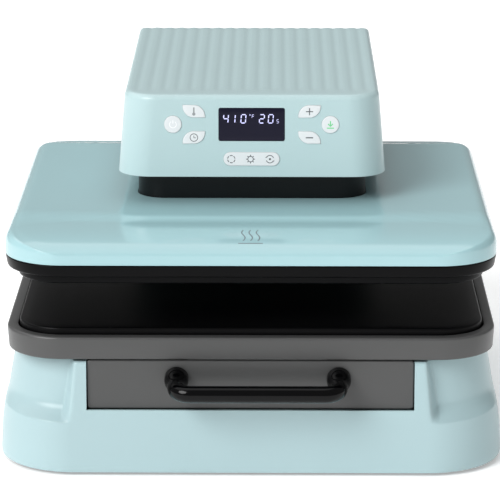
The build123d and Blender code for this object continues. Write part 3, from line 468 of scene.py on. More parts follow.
mint = mint_gloss("mint gloss casing", (182, 207, 209), (186, 210, 212))
# The base's finish is the casing's mint painted darker, as painted shade; the base and the arm are moulded in
# the same plastic.
base_mint_painted_darker = mint_gloss("mint gloss base painted darker as shade", (168, 194, 198), (172, 197, 201))


def between(stations, at):
    """Value at one place of a table of (place, value) stations, joined by straight lines."""
    for (a, first), (b, second) in zip(stations, stations[1:]):
        if at <= b:
            return first + (second - first) * (at - a) / (b - a)
    return stations[-1][1]


def eased(value):
    """Soft step from 0 to 1."""
    value = min(max(value, 0.0), 1.0)
    return value * value * (3 - 2 * value)


def base_columns():
    """Right half of the base's outline, front to back: ("front", x), ("turn", angle) and so on."""
    columns = [("front", i / 9) for i in range(9)]
    columns += [("turn", -90 + 18 * i / 24) for i in range(1, 25)]
    columns += [("turn", -72 + 72 * i / 14) for i in range(1, 14)]
    columns += [("side", i / 10) for i in range(10)]
    columns += [("turn", 90 * i / 14) for i in range(0, 15)]
    columns += [("back", i / 6) for i in range(1, 7)]
    return columns


def base_point(column, half, front, back, corner):
    """Plan point of a column on one rounded rectangle."""
    kind, value = column
    if kind == "front":
        return Vector((MOUTH_HALF + (half - corner - MOUTH_HALF) * value, front))
    if kind == "side":
        return Vector((half, front + corner + (back - front - 2 * corner) * value))
    if kind == "back":
        return Vector(((half - corner) * (1 - value), back))
    end = front + corner if value < 0 else back - corner
    angle = math.radians(value)
    return Vector((half - corner, end)) + corner * Vector((math.cos(angle), math.sin(angle)))


def base_right_half(z, soft):
    """Right half of the base's section at one height, drawn in by soft."""
    low, high = mm("base_shell")
    half = between(BASE_SIDES, z) - soft
    rise = (z - low.z) / (high.z - low.z)
    above_crease = max(0, z - CREASE) / (DECK - CREASE)
    front = low.y + FRONT_LEAN * rise + FRONT_STEP * above_crease + soft
    front += max(0, FOOT_TURN - z) ** 2 * FOOT_CURVE
    back = high.y - BACK_LEAN * rise - soft
    edge = JAMB_LOW + (JAMB_HIGH - JAMB_LOW) * above_crease
    corner = between(BASE_CORNERS, z) - soft
    points = []
    for column in base_columns():
        kind, value = column
        if kind == "front":
            turned = -math.pi / 2
        else:
            turned = math.radians(value) if kind == "turn" and value < 0 else 0
        above = (z - CREASE + CREASE_DIP * math.sin(turned) ** 2) / SCOOP_RISE
        scooped = math.sqrt(eased(above))
        skirt = base_point(column, half, front, back, corner)
        body = base_point(
            column, half - CREASE_STEP * scooped, front + SCOOP_DEPTH, back, DECK_CORNER - soft
        )
        behind = kind in ("side", "back") or kind == "turn" and value > 0
        aside = 1.0 if behind else eased((skirt.x - edge) / JAMB_ROUND)
        points.append(skirt.lerp(body, scooped * aside))
    return points


def base_ring(z, soft=0.0):
    """Whole section: right half from the mouth to the back, left half, then across the mouth."""
    right = base_right_half(z, soft)
    left = [Vector((-p.x, p.y)) for p in reversed(right[:-1])]
    across = [Vector((-MOUTH_HALF + 2 * MOUTH_HALF * i / 12, right[0].y)) for i in range(1, 12)]
    return [(p.x, p.y, z) for p in right + left + across]


base_heights = [3, 3.5, 4.4, 6, 9, 16, 24, 32, 38, 42, 44, 45.2, 45.8, 46.4, 47.2, 48.1]
base_heights += [CREASE, 49.6, 50.3, 51.2, 52.4, 53.9]
base_heights += [SILL, 57.5, 60, 62.5, 66, 71, 77, 83, 89, 93, DECK - DECK_SOFT]
base_rings = [base_ring(z) for z in base_heights]
for step in range(1, 6):
    lift = math.radians(90 * step / 5)
    height = DECK - DECK_SOFT + DECK_SOFT * math.sin(lift)
    base_rings.append(base_ring(height, DECK_SOFT * (1 - math.cos(lift))))
sill_row = base_heights.index(SILL)
edge_ring = base_rings[-1]
for share in (0.5, 1.0):
    deck = []
    for x, y, z in edge_ring:
        inner_x = max(-MOUTH_HALF, min(MOUTH_HALF, x))
        inner_y = min(y if abs(x) < MOUTH_HALF else max(y, edge_ring[0][1]), OPENING_BACK)
        deck.append((x + (inner_x - x) * share, y + (inner_y - y) * share, z))
    base_rings.append(deck)
mouth_start = 2 * len(base_columns()) - 2


def base_open(row, i):
    """Faces left out for the drawer's mouth."""
    return row >= sill_row and i >= mouth_start


def walled(made, thickness, sharp):
    """Gives a skin its wall, inwards."""
    wall = made.modifiers.new("wall", "SOLIDIFY")
    wall.thickness, wall.offset = thickness / 1000, -1.0
    settle(made, sharp)


base_casing = piece("base_casing", skin(base_rings, False, False, drop=base_open), base_mint_painted_darker, 60.0)
walled(base_casing, SHELL_WALL, 60.0)
part_of(base_casing, "machine", "mint_casing", "base_shell")


# ---------------------------------------------------------------- Circuit boards
# The power board lies on the pan with its transformer, relay and capacitors; the control board and
# the digit module stand behind the console. Each is one piece in the green of its solder mask.

board_finish = Finish("green solder mask", Coat_Weight=0.4, Coat_Roughness=0.15)
board_spots = board_finish.noise(120.0, 3.0)
board_finish.set("Base Color", board_finish.mix(board_spots > 0.56, shade(18, 74, 46), shade(38, 110, 70)))
board_finish.set("Roughness", 0.35 + board_spots * 0.2)
board_finish.bump(board_spots, 0.2, 0.0002)
paint(board_finish.material, "power_board", "control_board", "display_module")
switch_plastic = moulded("black switch plastic", (24, 24, 25), 0.45, 700.0, 0.2)
paint(switch_plastic, "tact_switches")


# ---------------------------------------------------------------- Drawer slides
# Full-extension telescopic slides of folded, zinc-plated steel, screwed to the carriage's sides
# and to angle brackets on the bed. The casing screws and the head's spacers are plated alike.

paint(zinc, "outer_rails", "middle_rails", "inner_rails", "casing_screws", "standoffs")


# ---------------------------------------------------------------- Drawer front and handle
# The front is a dark grey moulding screwed to the carriage. The handle is a solid bow of glossy
# black phenolic that swings forwards from two thick roots.

dark_grey_finish = Finish("dark grey satin moulding", Coat_Weight=0.15, Coat_Roughness=0.25)
grey_cloud = dark_grey_finish.noise(7.0, 3.0)
grey_grain = dark_grey_finish.noise(1100.0, 3.0, 0.65)
dark_grey_finish.set("Base Color", dark_grey_finish.mix(grey_cloud, shade(68, 69, 69), shade(74, 74, 74)))
dark_grey_finish.set("Roughness", 0.40 + (grey_grain - 0.5) * 0.15 + (grey_cloud - 0.5) * 0.05)
dark_grey_finish.bump(grey_grain, 0.25, 0.0002)
dark_grey = dark_grey_finish.material

front_low, front_high = mm("drawer_front")
front_middle = ((front_low.x + front_high.x) / 2, (front_low.z + front_high.z) / 2)
front_depth = front_high.y - front_low.y
front_profile = softened([(0, front_depth, 0), (0, 0.8, 0.4), (0.9, 0, 0.5), (12, 0, 0)], steps=6)
flat_rings, faces = bordered(
    (front_high.x - front_low.x) / 2, (front_high.z - front_low.z) / 2, 3.0,
    front_middle, front_profile, corner=6,
)
drawer_front = piece("drawer_panel", ([(x, front_low.y + w, z) for x, z, w in flat_rings], faces), dark_grey)
part_of(drawer_front, "drawer", "dark_grey_plastic", "drawer_front")

HANDLE_X, HANDLE_Z, HANDLE_HALF = 6.0, 83.0, 66.4
HANDLE_REACH, HANDLE_DROP, HANDLE_BEND = 31.0, 4.5, 12.0
HANDLE_BAR, HANDLE_ROOT, ROOT_LENGTH = 7.0, 10.0, 9.0

bakelite = worked(
    "polished black phenolic", (2, 2, 3), (4, 4, 5), 0.09, 0.06, 0.08, 0.0004,
    (25.0, 3.0), Specular_IOR_Level=0.2,
)

handle_y = front_low.y
bow = Geometry("bow handle", Bar=HANDLE_BAR / 1000, Root=HANDLE_ROOT / 1000, Bend=HANDLE_BEND / 1000)
route = bpy.data.meshes.new("handle_route")
route_points = [(-HANDLE_HALF, 0), (-HANDLE_HALF, 1), (HANDLE_HALF, 1), (HANDLE_HALF, 0)]
route.from_pydata(
    [(x / 1000, -HANDLE_REACH * out / 1000, -HANDLE_DROP * out / 1000) for x, out in route_points],
    [(0, 1), (1, 2), (2, 3)], [],
)
handle = bpy.data.objects.new("bow_handle", route)
bpy.context.scene.collection.objects.link(handle)
path = bow.node("GeometryNodeMeshToCurve", None, {"Mesh": Wire(bow, bow.entry.outputs["Geometry"])})
path = bow.node(
    "GeometryNodeFilletCurve", {"mode": "POLY"},
    {"Curve": path, "Count": 14, "Radius": bow.size("Bend"), "Limit Radius": True},
)
path = bow.node("GeometryNodeResampleCurve", {"mode": "COUNT"}, {"Curve": path, "Count": 120})
along = bow.node("GeometryNodeSplineParameter", out="Length")
whole = bow.node("GeometryNodeSplineLength")
to_end = along.math("MINIMUM", along, whole - along)
swell = bow.node(
    "ShaderNodeMapRange", {"interpolation_type": "SMOOTHSTEP"},
    {0: to_end, 1: ROOT_LENGTH * 0.6 / 1000, 2: ROOT_LENGTH * 1.9 / 1000,
     3: bow.size("Root"), 4: bow.size("Bar")},
)
section = bow.node("GeometryNodeCurvePrimitiveCircle", None, {"Resolution": 32, "Radius": 1.0})
bar = bow.node(
    "GeometryNodeCurveToMesh", None,
    {"Curve": path, "Profile Curve": section, "Scale": swell, "Fill Caps": True},
)
bar = bow.moved(bar, x=HANDLE_X / 1000, y=handle_y / 1000, z=HANDLE_Z / 1000)
bow.make(handle, bar, bakelite, 60.0)
part_of(handle, "drawer", "black_gloss", "handle")

root_screws = screws(
    "handle_screw_set", [(HANDLE_X + side * HANDLE_HALF, front_high.y, HANDLE_Z) for side in (-1, 1)],
    4.0, 2.5, 2.0, 14.0, (math.pi / 2, 0.0, 0.0),
)
part_of(root_screws, "drawer", "zinc_steel", "handle_screws")


# ---------------------------------------------------------------- Tray, plate and pad
# A shallow dark grey tray is screwed to the carriage. An aluminium plate lies in it, and on that
# the removable black silicone foam pad, moulded with a smooth skin and a softened edge.

tray_low, tray_high = mm("tray")
plate_low = mm("tray_plate")[0]
pad_low, pad_high = mm("pad")
press_middle = (0.0, (tray_low.y + tray_high.y) / 2)
tray_half = (tray_high.x - tray_low.x) / 2
pad_half = (pad_high.x - pad_low.x) / 2
TRAY_CORNER, PAD_CORNER, TRAY_RIM = 48.5, 38.0, 9.5
tray_profile = softened([
    (20, tray_low.z, 0), (1.2, tray_low.z, 1.5), (0, tray_high.z, 2.2), (TRAY_RIM, tray_high.z, 1.2),
    (TRAY_RIM, plate_low.z, 0.5), (TRAY_RIM + 15, plate_low.z, 0),
], steps=5)
tray = piece(
    "pad_tray",
    bordered(tray_half, tray_half, TRAY_CORNER, press_middle, tray_profile, corner=24, side=4), dark_grey,
)
part_of(tray, "drawer", "dark_grey_plastic", "tray")

aluminium = worked(
    "brushed aluminium", (176, 178, 180), (206, 207, 209), 0.30, 0.15, 0.12, 0.0002,
    (60.0, 4.0, 0.7), (1.0, 25.0, 1.0), Metallic=1.0,
)
paint(aluminium, "tray_plate", "gearbox")

pad_finish = Finish("black silicone foam skin", Specular_IOR_Level=0.1)
pad_cloud = pad_finish.noise(6.0, 4.0)
pad_grain = pad_finish.noise(800.0, 3.0, 0.6)
pad_finish.set("Base Color", pad_finish.mix(pad_cloud, shade(5, 5, 6), shade(10, 10, 11)))
pad_finish.set("Roughness", 0.34 + (pad_cloud - 0.5) * 0.10 + (pad_grain - 0.5) * 0.10)
pad_finish.bump(pad_grain * 0.5 + pad_cloud * 0.5, 0.12, 0.0004)
pad_profile = softened([
    (12, pad_low.z, 0), (0, pad_low.z, 1.0), (0, pad_high.z - 0.25, 1.8), (10, pad_high.z - 0.2, 6),
    (34, pad_high.z, 0),
], steps=5) + [(60, pad_high.z), (110, pad_high.z)]
pad = piece(
    "silicone_pad", bordered(pad_half, pad_half, PAD_CORNER, press_middle, pad_profile, corner=24, side=8),
    pad_finish.material,
)
part_of(pad, "drawer", "pad_silicone", "pad")


# ---------------------------------------------------------------- Heated head, inner pieces
# The cast aluminium platen has a black non-stick face and edge. A sheathed element sits in its
# back under a fibre board; spacers carry a steel pressure plate.

coating_finish = Finish("black non-stick coating", Specular_IOR_Level=0.1)
speckle = coating_finish.noise(1500.0, 2.0)
coat_cloud = coating_finish.noise(12.0, 4.0)
coating_finish.set("Base Color", coating_finish.mix(coat_cloud, shade(3, 4, 5), shade(7, 8, 10)))
coating_finish.set("Roughness", 0.36 + (coat_cloud - 0.5) * 0.12 + (speckle - 0.5) * 0.14)
coating_finish.bump(speckle, 0.25, 0.0002)
platen_low, platen_high = mm("heat_plate")
platen_profile = softened([
    (60, platen_low.z, 0), (0, platen_low.z, 2.0), (0, platen_high.z, 1.0), (25, platen_high.z, 0),
], steps=5)
platen = piece(
    "coated_platen",
    bordered(pad_half, pad_half, PAD_CORNER, press_middle, platen_profile, corner=24, side=4),
    coating_finish.material,
)
part_of(platen, "head", "platen_aluminium", "heat_plate")

ground_steel = worked(
    "ground steel", (178, 178, 176), (208, 208, 206), 0.18, 0.14, 0.08, 0.0001,
    (300.0, 3.0, 0.6), (1.0, 1.0, 6.0), Metallic=1.0,
)
paint(ground_steel, "heating_element", "guide_rods", "lead_screw", "screw_bearing", "lift_tube")
bronze = worked(
    "sintered bronze", (146, 104, 60), (190, 142, 90), 0.35, 0.2, 0.2, 0.0001, (900.0, 3.0), Metallic=1.0
)
paint(bronze, "lift_nut", "guide_bushes")
fibre = worked(
    "ceramic fibre board", (206, 200, 186), (238, 234, 224), 0.85, 0.12, 0.6, 0.0006,
    (350.0, 6.0, 0.75), Sheen_Weight=0.2,
)
paint(fibre, "insulation")
motor_can = worked(
    "black electro-coated motor can", (34, 35, 37), (52, 53, 55), 0.35, 0.15, 0.1, 0.0002,
    (200.0, 3.0), Metallic=0.4,
)
paint(motor_can, "press_motor")


# ---------------------------------------------------------------- Rim and cover of the head
# A black heat-proof frame goes round the platen. The glossy mint cover clips onto it: an upright
# wall, rounded edges, a long soft slope to the front and a short one to the back.

rim_low, rim_high = mm("rim")
RIM_CORNER, RIM_WALL, RIM_TAPER = 50.0, 10.0, 1.8
rim_half = (rim_high.x - rim_low.x) / 2
rim_profile = softened([
    (RIM_TAPER, rim_low.z, 2.2), (0, rim_high.z, 0.8),
    (RIM_WALL, rim_high.z, 0.5), (RIM_WALL, rim_low.z, 1.0),
], steps=5, closed=True)
black_rim = moulded("black heat-proof moulding", (3, 3, 4), 0.30, 900.0, 0.25, Specular_IOR_Level=0.1)
rim = piece(
    "platen_rim",
    bordered(rim_half, rim_half, RIM_CORNER, press_middle, rim_profile, corner=24, side=4,
             low_cap=False, high_cap=False, loop=True),
    black_rim,
)
part_of(rim, "head", "black_plastic", "rim")

COVER_WALL, COVER_THICK, COVER_EDGE = 8.1, 2.5, 12.5
COVER_SLOPE, COVER_BACK_SLOPE, CREST_BLEND = 88.5, 40.0, 8.0
NECK_HALF, NECK_CORNER, NECK_SLIT = (98.05, 55.6), 25.0, 0.3
cover_low, cover_high = mm("cover")
cover_half = (cover_high.x - cover_low.x) / 2


def cover_height(y, inset):
    """Height of the cover's outside at a place that lies inset from its edge."""
    low = cover_high.z
    if inset < COVER_EDGE:
        low += math.sqrt(COVER_EDGE ** 2 - (COVER_EDGE - inset) ** 2) - COVER_EDGE
    drop = cover_high.z - cover_low.z - COVER_WALL
    for length, into in ((COVER_SLOPE, y - cover_low.y), (COVER_BACK_SLOPE, cover_high.y - y)):
        share = 1 - min(max(into, 0), length) / length
        slope = cover_high.z - drop + drop * math.sqrt(max(1 - share * share, 0))
        gap = abs(low - slope)
        low = min(low, slope)
        if gap < CREST_BLEND and share > 0:
            fading = min(inset / 8, 1) * min(share * 6, 1)
            low -= (CREST_BLEND - gap) ** 2 / (4 * CREST_BLEND) * fading
    return low


cover_rings = []
cover_hem = [(2.0, cover_low.z + 0.3, 0), (0, cover_low.z + 0.3, 0.5), (0, cover_low.z + 3, 0)]
for inset, height in softened(cover_hem):
    half = cover_half - inset
    flat = outline(half, half, RIM_CORNER - inset, press_middle, corner=32, side=24)
    cover_rings.append([(x, y, height) for x, y in flat])
cover_insets = [0.002, 0.04, 0.12, 0.25, 0.45, 0.7, 1.0, 1.4, 1.9, 2.5, 3.2, 4, 5, 6.2, 7.6, 9, 10.7, 12.5]
cover_insets += [14.5, 17, 20, 24, 28, 33, 38, 44, 51, 58, 66, 74, 82, 90]
for inset in cover_insets:
    half = cover_half - inset
    flat = outline(half, half, max(RIM_CORNER - inset * 0.55, 4), press_middle, corner=32, side=24)
    cover_rings.append([(x, y, cover_height(y, inset)) for x, y in flat])
hole = outline(
    NECK_HALF[0] + NECK_SLIT, NECK_HALF[1] + NECK_SLIT, NECK_CORNER, press_middle, corner=32, side=24
)
cover_rings.append([(x, y, cover_high.z) for x, y in hole])
cover_finish = Finish("mint high-gloss cover", Coat_Weight=0.3, Coat_Roughness=0.04, Specular_IOR_Level=0.4)
cover_cloud = cover_finish.noise(5.0, 3.0)
cover_wave = cover_finish.noise(16.0, 2.0)
cover_finish.set("Base Color", cover_finish.mix(cover_cloud, shade(163, 201, 206), shade(167, 204, 209)))
cover_finish.set("Roughness", 0.16 + (cover_cloud - 0.5) * 0.06)
cover_finish.bump(cover_wave, 0.03, 0.0006)
cover = piece("head_cover", skin(cover_rings, False, False), cover_finish.material, 50.0)
walled(cover, COVER_THICK, 50.0)
part_of(cover, "head", "mint_casing", "cover")

neck_finish = Finish("black slate moulding", Specular_IOR_Level=0.22)
neck_grain = neck_finish.noise(900.0, 3.0)
neck_streak = neck_finish.noise(20.0, 3.0, 0.5, neck_finish.stretched(1.0, 1.0, 0.1))
neck_finish.set("Base Color", neck_finish.mix(neck_streak, shade(14, 18, 20), shade(19, 23, 25)))
neck_finish.set("Roughness", 0.36 + (neck_grain - 0.5) * 0.15)
neck_finish.bump(neck_grain, 0.2, 0.0002)
paint(neck_finish.material, "neck")


# ---------------------------------------------------------------- Arm and console casing
# One mint moulding makes the leaning console, the arm and the column behind. Eighteen shallow
# grooves run over its top and down its back; the keys and the window have their own openings.

ARM_LOW, ARM_CORNER, ARM_BACK_CORNER, ARM_BACK_RADIUS, ARM_SOFT = 223.0, 28.0, 8.0, 15.0, 4.5
ARM_HALF_LOW, ARM_HALF_TOP, ARM_LEAN = 113.75, 108.0, 5.8
ARM_SHELL = 2.5
RIB_COUNT, RIB_PITCH, RIB_HALF, RIB_DEPTH = 18, 11.45, 4.4, 0.6
RIB_FRONT, RIB_LOW = 20.0, 160.0
arm_low, arm_high = mm("arm_casing")
arm_front = arm_low.y
arm_height = arm_high.z - ARM_LOW


def rib_columns():
    """Sideways places of the mesh's columns on the right half, seven across each groove."""
    columns = [0.0]
    for index in range(RIB_COUNT // 2):
        middle = (index + 0.5) * RIB_PITCH
        columns += [middle + RIB_HALF * share for share in (-1, -0.7, -0.35, 0, 0.35, 0.7, 1)]
    return columns


TOP_STRAIGHT = ARM_HALF_TOP - ARM_CORNER
TOP_RADIUS = ARM_CORNER - ARM_SOFT
STRAIGHT = [x for x in rib_columns() if x < TOP_STRAIGHT - 1]
TURNED = [x for x in rib_columns() if x > TOP_STRAIGHT + 0.5]
CORNER_ANGLES = [0.0] + [math.asin((x - TOP_STRAIGHT) / TOP_RADIUS) for x in TURNED]
CORNER_ANGLES += [math.radians(a) for a in (70, 75, 80, 85, 90)]
SIDE_SHARES = [0.02, 0.05, 0.08, 0.1, 0.12, 0.14, 0.17, 0.25, 0.35, 0.45, 0.55, 0.65, 0.75, 0.82, 0.93]
column_face = mm("column_front")[0].y
wall_start = arm_front + ARM_CORNER
wall_end = arm_high.y - ARM_BACK_CORNER
COLUMN_SHARE = (column_face - wall_start) / (wall_end - wall_start)
side_shares = sorted(SIDE_SHARES + [COLUMN_SHARE])


def arm_ring(z, soft=0.0):
    """Section of the casing at one height, from the front's middle anticlockwise."""
    rise = max(z - ARM_LOW, 0) / arm_height
    half = ARM_HALF_LOW + (ARM_HALF_TOP - ARM_HALF_LOW) * rise - soft
    front = arm_front + ARM_LEAN * rise + soft
    over = max(z - (arm_high.z - ARM_BACK_RADIUS), 0)
    back = arm_high.y - ARM_BACK_RADIUS + math.sqrt(max(ARM_BACK_RADIUS ** 2 - over ** 2, 0))
    wide, tight = ARM_CORNER - soft, ARM_BACK_CORNER - soft
    right = [(x, front) for x in STRAIGHT]
    right += [
        (half - wide + wide * math.sin(a), front + wide * (1 - math.cos(a))) for a in CORNER_ANGLES
    ]
    start, end = front + wide, back - tight
    right += [(half, start + (end - start) * share) for share in side_shares]
    top_tight = ARM_BACK_CORNER - ARM_SOFT
    turn_start = ARM_HALF_TOP - ARM_SOFT - top_tight
    for a in reversed(CORNER_ANGLES):
        x = TOP_STRAIGHT + TOP_RADIUS * math.sin(a)
        if x <= turn_start:
            right.append((x, back))
        else:
            turn = math.asin(min((x - turn_start) / top_tight, 1))
            right.append((half - tight + tight * math.sin(turn), back - tight * (1 - math.cos(turn))))
    right += [(x, back) for x in reversed(STRAIGHT)]
    left = [(-x, y) for x, y in reversed(right[1:-1])]
    return [(x, y, z) for x, y in right + left]


half_count = len(STRAIGHT) + len(CORNER_ANGLES)
side_count = len(side_shares)
open_until = half_count + side_shares.index(COLUMN_SHARE)
arm_rings = [arm_ring(z) for z in (97, 110, 130, 150, 158, 162, 180, 200, 215, ARM_LOW)]
low_rows = len(arm_rings) - 1
arm_rings += [arm_ring(z) for z in (223.8, 226, 232, 240, 250, 260, 270, 277)]
for step in range(1, 9):
    z = arm_high.z - ARM_BACK_RADIUS * (1 - math.sin(math.radians(6 * step)))
    if z < arm_high.z - ARM_SOFT:
        arm_rings.append(arm_ring(z))
for step in range(7):
    lift = math.radians(90 * step / 6)
    z = arm_high.z - ARM_SOFT + ARM_SOFT * math.sin(lift)
    arm_rings.append(arm_ring(z, ARM_SOFT * (1 - math.cos(lift))))
ring_count = len(arm_rings[0])


def column_open(row, i):
    """Below the arm only the column's back and sides are there."""
    return row < low_rows and (i < open_until or i >= ring_count - open_until)


arm_vertices, arm_faces = skin(arm_rings, False, False, drop=column_open)
last = (len(arm_rings) - 1) * ring_count
top_left = [last + (ring_count - i) % ring_count for i in range(half_count)]
front_line = list(reversed(top_left)) + [last + i for i in range(1, half_count)]
back_right = half_count + side_count
back_line = [last + back_right + i for i in range(half_count)]
back_left = [last + (ring_count - (back_right + i)) % ring_count for i in range(half_count)]
back_line = back_left[:-1] + list(reversed(back_line))
rows = [front_line]
left_side = [last + (ring_count - (half_count + i)) % ring_count for i in range(side_count)]
right_side = [last + half_count + i for i in range(side_count)]
for share_index in range(side_count):
    row = [left_side[share_index]]
    for lower, upper in zip(front_line[1:-1], back_line[1:-1]):
        a, b = Vector(arm_vertices[lower]), Vector(arm_vertices[upper])
        y_left = arm_vertices[left_side[share_index]][1]
        start, end = arm_vertices[front_line[0]][1], arm_vertices[back_line[0]][1]
        t = (y_left - start) / (end - start)
        arm_vertices.append(tuple(a.lerp(b, t)))
        row.append(len(arm_vertices) - 1)
    row.append(right_side[share_index])
    rows.append(row)
rows.append(back_line)
for low_row, high_row in zip(rows, rows[1:]):
    for i in range(len(low_row) - 1):
        arm_faces.append((low_row[i], low_row[i + 1], high_row[i + 1], high_row[i]))

arm = piece("arm_shell", (arm_vertices, arm_faces), mint, 50.0)
ribs = Geometry(
    "casing grooves", Pitch=RIB_PITCH / 1000, Half=RIB_HALF / 1000, Depth=RIB_DEPTH / 1000,
    Front=(arm_front + ARM_LEAN + RIB_FRONT) / 1000, Low=RIB_LOW / 1000, Outside=RIB_COUNT * RIB_PITCH / 2000,
)
spot = ribs.node("ShaderNodeSeparateXYZ", None, {0: ribs.node("GeometryNodeInputPosition")})
spot_y, spot_z = (Wire(ribs, spot.socket.node.outputs[i]) for i in (1, 2))
normal = ribs.node("GeometryNodeInputNormal")
facing = ribs.node("ShaderNodeSeparateXYZ", None, {0: normal})
turns = spot / ribs.size("Pitch")
off_centre = abs(turns.math("FRACT", turns) - 0.5) * ribs.size("Pitch")
away = off_centre / ribs.size("Half")
valley = 0.5 + 0.5 * away.math("COSINE", away.math("MINIMUM", away, 1.0) * math.pi)


def ramped(value, start, end):
    """0 before start, 1 after end and even between."""
    return ribs.node("ShaderNodeMapRange", None, {0: value, 1: start, 2: end, 3: 0.0, 4: 1.0})


within = abs(spot) < ribs.size("Outside")
level = 1 - ramped(abs(facing), 0.15, 0.4)
behind = ramped(spot_y, ribs.size("Front"), ribs.size("Front") + 0.008)
above = ramped(spot_z, ribs.size("Low") - 0.002, ribs.size("Low") + 0.002)
depth = valley * within * level * behind * above * ribs.size("Depth")
inwards = ribs.node("ShaderNodeVectorMath", {"operation": "SCALE"}, {0: normal, "Scale": 0 - depth})
grooved = ribs.node(
    "GeometryNodeSetPosition", None,
    {"Geometry": Wire(ribs, ribs.entry.outputs["Geometry"]), "Offset": inwards},
)
ribs.make(arm, grooved, mint, 50.0)
walled(arm, ARM_SHELL, 50.0)

# The panel's own directions: across, up the leaning face and out of it.
panel_origin = Vector((0, arm_front, ARM_LOW))
panel_lean = math.atan2(ARM_LEAN, arm_height)
PANEL_ACROSS = Vector((1, 0, 0))
PANEL_UP = Vector((0, math.sin(panel_lean), math.cos(panel_lean)))
PANEL_OUT = Vector((0, -math.cos(panel_lean), math.sin(panel_lean)))
LEAF_X, LEAF_RISE, LEAF_WIDE, LEAF_HIGH, LEAF_FLAT = 48.8, 11.1, 18.9, 10.6, 10.5
KEY_ROW, ROUND_X, ROUND_RADIUS = 44.6, 66.5, 7.4
MODE_ROW, MODE_SIZE = 15.2, (47.6, 11.6)
WINDOW_SIZE = (55.8, 28.0)


def bowed(start, through, end, steps=10):
    """Points on the arc through three places, without the last."""
    a, b, c = (Vector(p) for p in (start, through, end))
    d = 2 * (a.x * (b.y - c.y) + b.x * (c.y - a.y) + c.x * (a.y - b.y))
    aa, bb, cc = (p.length_squared for p in (a, b, c))
    ux = (aa * (b.y - c.y) + bb * (c.y - a.y) + cc * (a.y - b.y)) / d
    uy = (aa * (c.x - b.x) + bb * (a.x - c.x) + cc * (b.x - a.x)) / d
    centre = Vector((ux, uy))
    sweep = (a - centre).angle_signed(c - centre)
    points = []
    for step in range(steps):
        turn = -sweep * step / steps
        c, s = math.cos(turn), math.sin(turn)
        reach = a - centre
        points.append((centre.x + reach.x * c - reach.y * s, centre.y + reach.x * s + reach.y * c))
    return points


def leaf(x, up, mirrored):
    """Anticlockwise outline of a leaf key with two pointed and two swept corners."""
    half_w, half_h = LEAF_WIDE / 2, LEAF_HIGH / 2
    turn = LEAF_FLAT - half_w
    bulge = (LEAF_WIDE - LEAF_FLAT) * 0.14
    points = bowed((-half_w, half_h), (-half_w + bulge, -0.1 * half_h), (-turn, -half_h))
    points += [(-turn, -half_h), (turn, -half_h)]
    points += bowed((half_w, -half_h), (half_w - bulge, 0.1 * half_h), (turn, half_h))
    points += [(turn, half_h), (-turn, half_h)]
    if mirrored:
        points = [(-a, b) for a, b in reversed(points)]
    return [(a + x, b + up) for a, b in points]


def disc(x, up, radius, steps=40):
    return [
        (x + radius * math.cos(math.tau * i / steps), up + radius * math.sin(math.tau * i / steps))
        for i in range(steps)
    ]


KEY_OUTLINES = {
    "power_key": disc(-ROUND_X, KEY_ROW, ROUND_RADIUS),
    "start_key": disc(ROUND_X, KEY_ROW, ROUND_RADIUS),
    "temperature_key": leaf(-LEAF_X, KEY_ROW + LEAF_RISE, False),
    "time_key": leaf(-LEAF_X, KEY_ROW - LEAF_RISE, True),
    "plus_key": leaf(LEAF_X, KEY_ROW + LEAF_RISE, True),
    "minus_key": leaf(LEAF_X, KEY_ROW - LEAF_RISE, False),
    "mode_key": outline(MODE_SIZE[0] / 2, MODE_SIZE[1] / 2, MODE_SIZE[1] / 2 - 0.01, (0, MODE_ROW)),
}


def grown(points, out):
    """Outline moved outwards along its corners' normals; a negative out draws it in."""
    moved = []
    for i, here in enumerate(points):
        before, after = Vector(points[i - 1]), Vector(points[(i + 1) % len(points)])
        here = Vector(here)
        first, second = (here - before).normalized(), (after - here).normalized()
        normal = Vector((first.y + second.y, -first.x - second.x)).normalized()
        spread = max(normal.dot(Vector((first.y, -first.x))), 0.6)
        moved.append(tuple(here + normal * (out / spread)))
    return moved


def on_panel(points, out):
    """Outline placed on the leaning face, out millimetres in front of it."""
    return [
        tuple(panel_origin + PANEL_ACROSS * a + PANEL_UP * b + PANEL_OUT * out) for a, b in points
    ]


KEY_GAP, FITTING_LIP = 0.15, 2.3
openings = [grown(points, KEY_GAP) for points in KEY_OUTLINES.values()]
openings.append(outline(WINDOW_SIZE[0] / 2 + 0.2, WINDOW_SIZE[1] / 2 + 0.2, 1.7, (0, KEY_ROW), corner=4))
punches = [skin([on_panel(points, -ARM_SHELL - 2), on_panel(points, 3)]) for points in openings]
back_face = arm_high.y
for node in ("power_inlet", "switch_housing"):
    low, high = mm(node)
    middle = ((low.x + high.x) / 2, (low.z + high.z) / 2)
    size = ((high.x - low.x) / 2 - FITTING_LIP, (high.z - low.z) / 2 - FITTING_LIP)
    hole = outline(*size, 1.0, middle, corner=3)
    punches.append(skin([[(x, back_face + y, z) for x, z in reversed(hole)] for y in (-6, 6)]))
punch = piece("punch", merged(*punches), mint)
cut = arm.modifiers.new("openings", "BOOLEAN")
cut.object, cut.operation, cut.solver = punch, "DIFFERENCE", "EXACT"
settle(arm, 50.0)
bpy.data.objects.remove(punch)
part_of(arm, "machine", "mint_casing", "arm_casing")
paint(mint, "column_front")


# ---------------------------------------------------------------- Keys and their printed signs
# White ABS caps with a soft edge and a shallow crown, held by a flange behind the wall. Thin signs
# are pad-printed on them: grey, but green on the start key and white on the power key.

key_finish = Finish("white key plastic", Coat_Weight=0.2, Coat_Roughness=0.2)
key_cloud = key_finish.noise(90.0, 3.0)
key_fine = key_finish.noise(1500.0)
key_finish.set("Base Color", key_finish.mix(key_cloud, shade(222, 226, 228), shade(228, 231, 233)))
key_finish.set("Roughness", 0.36 + (key_fine - 0.5) * 0.12)
key_finish.bump(key_fine, 0.08, 0.0001)


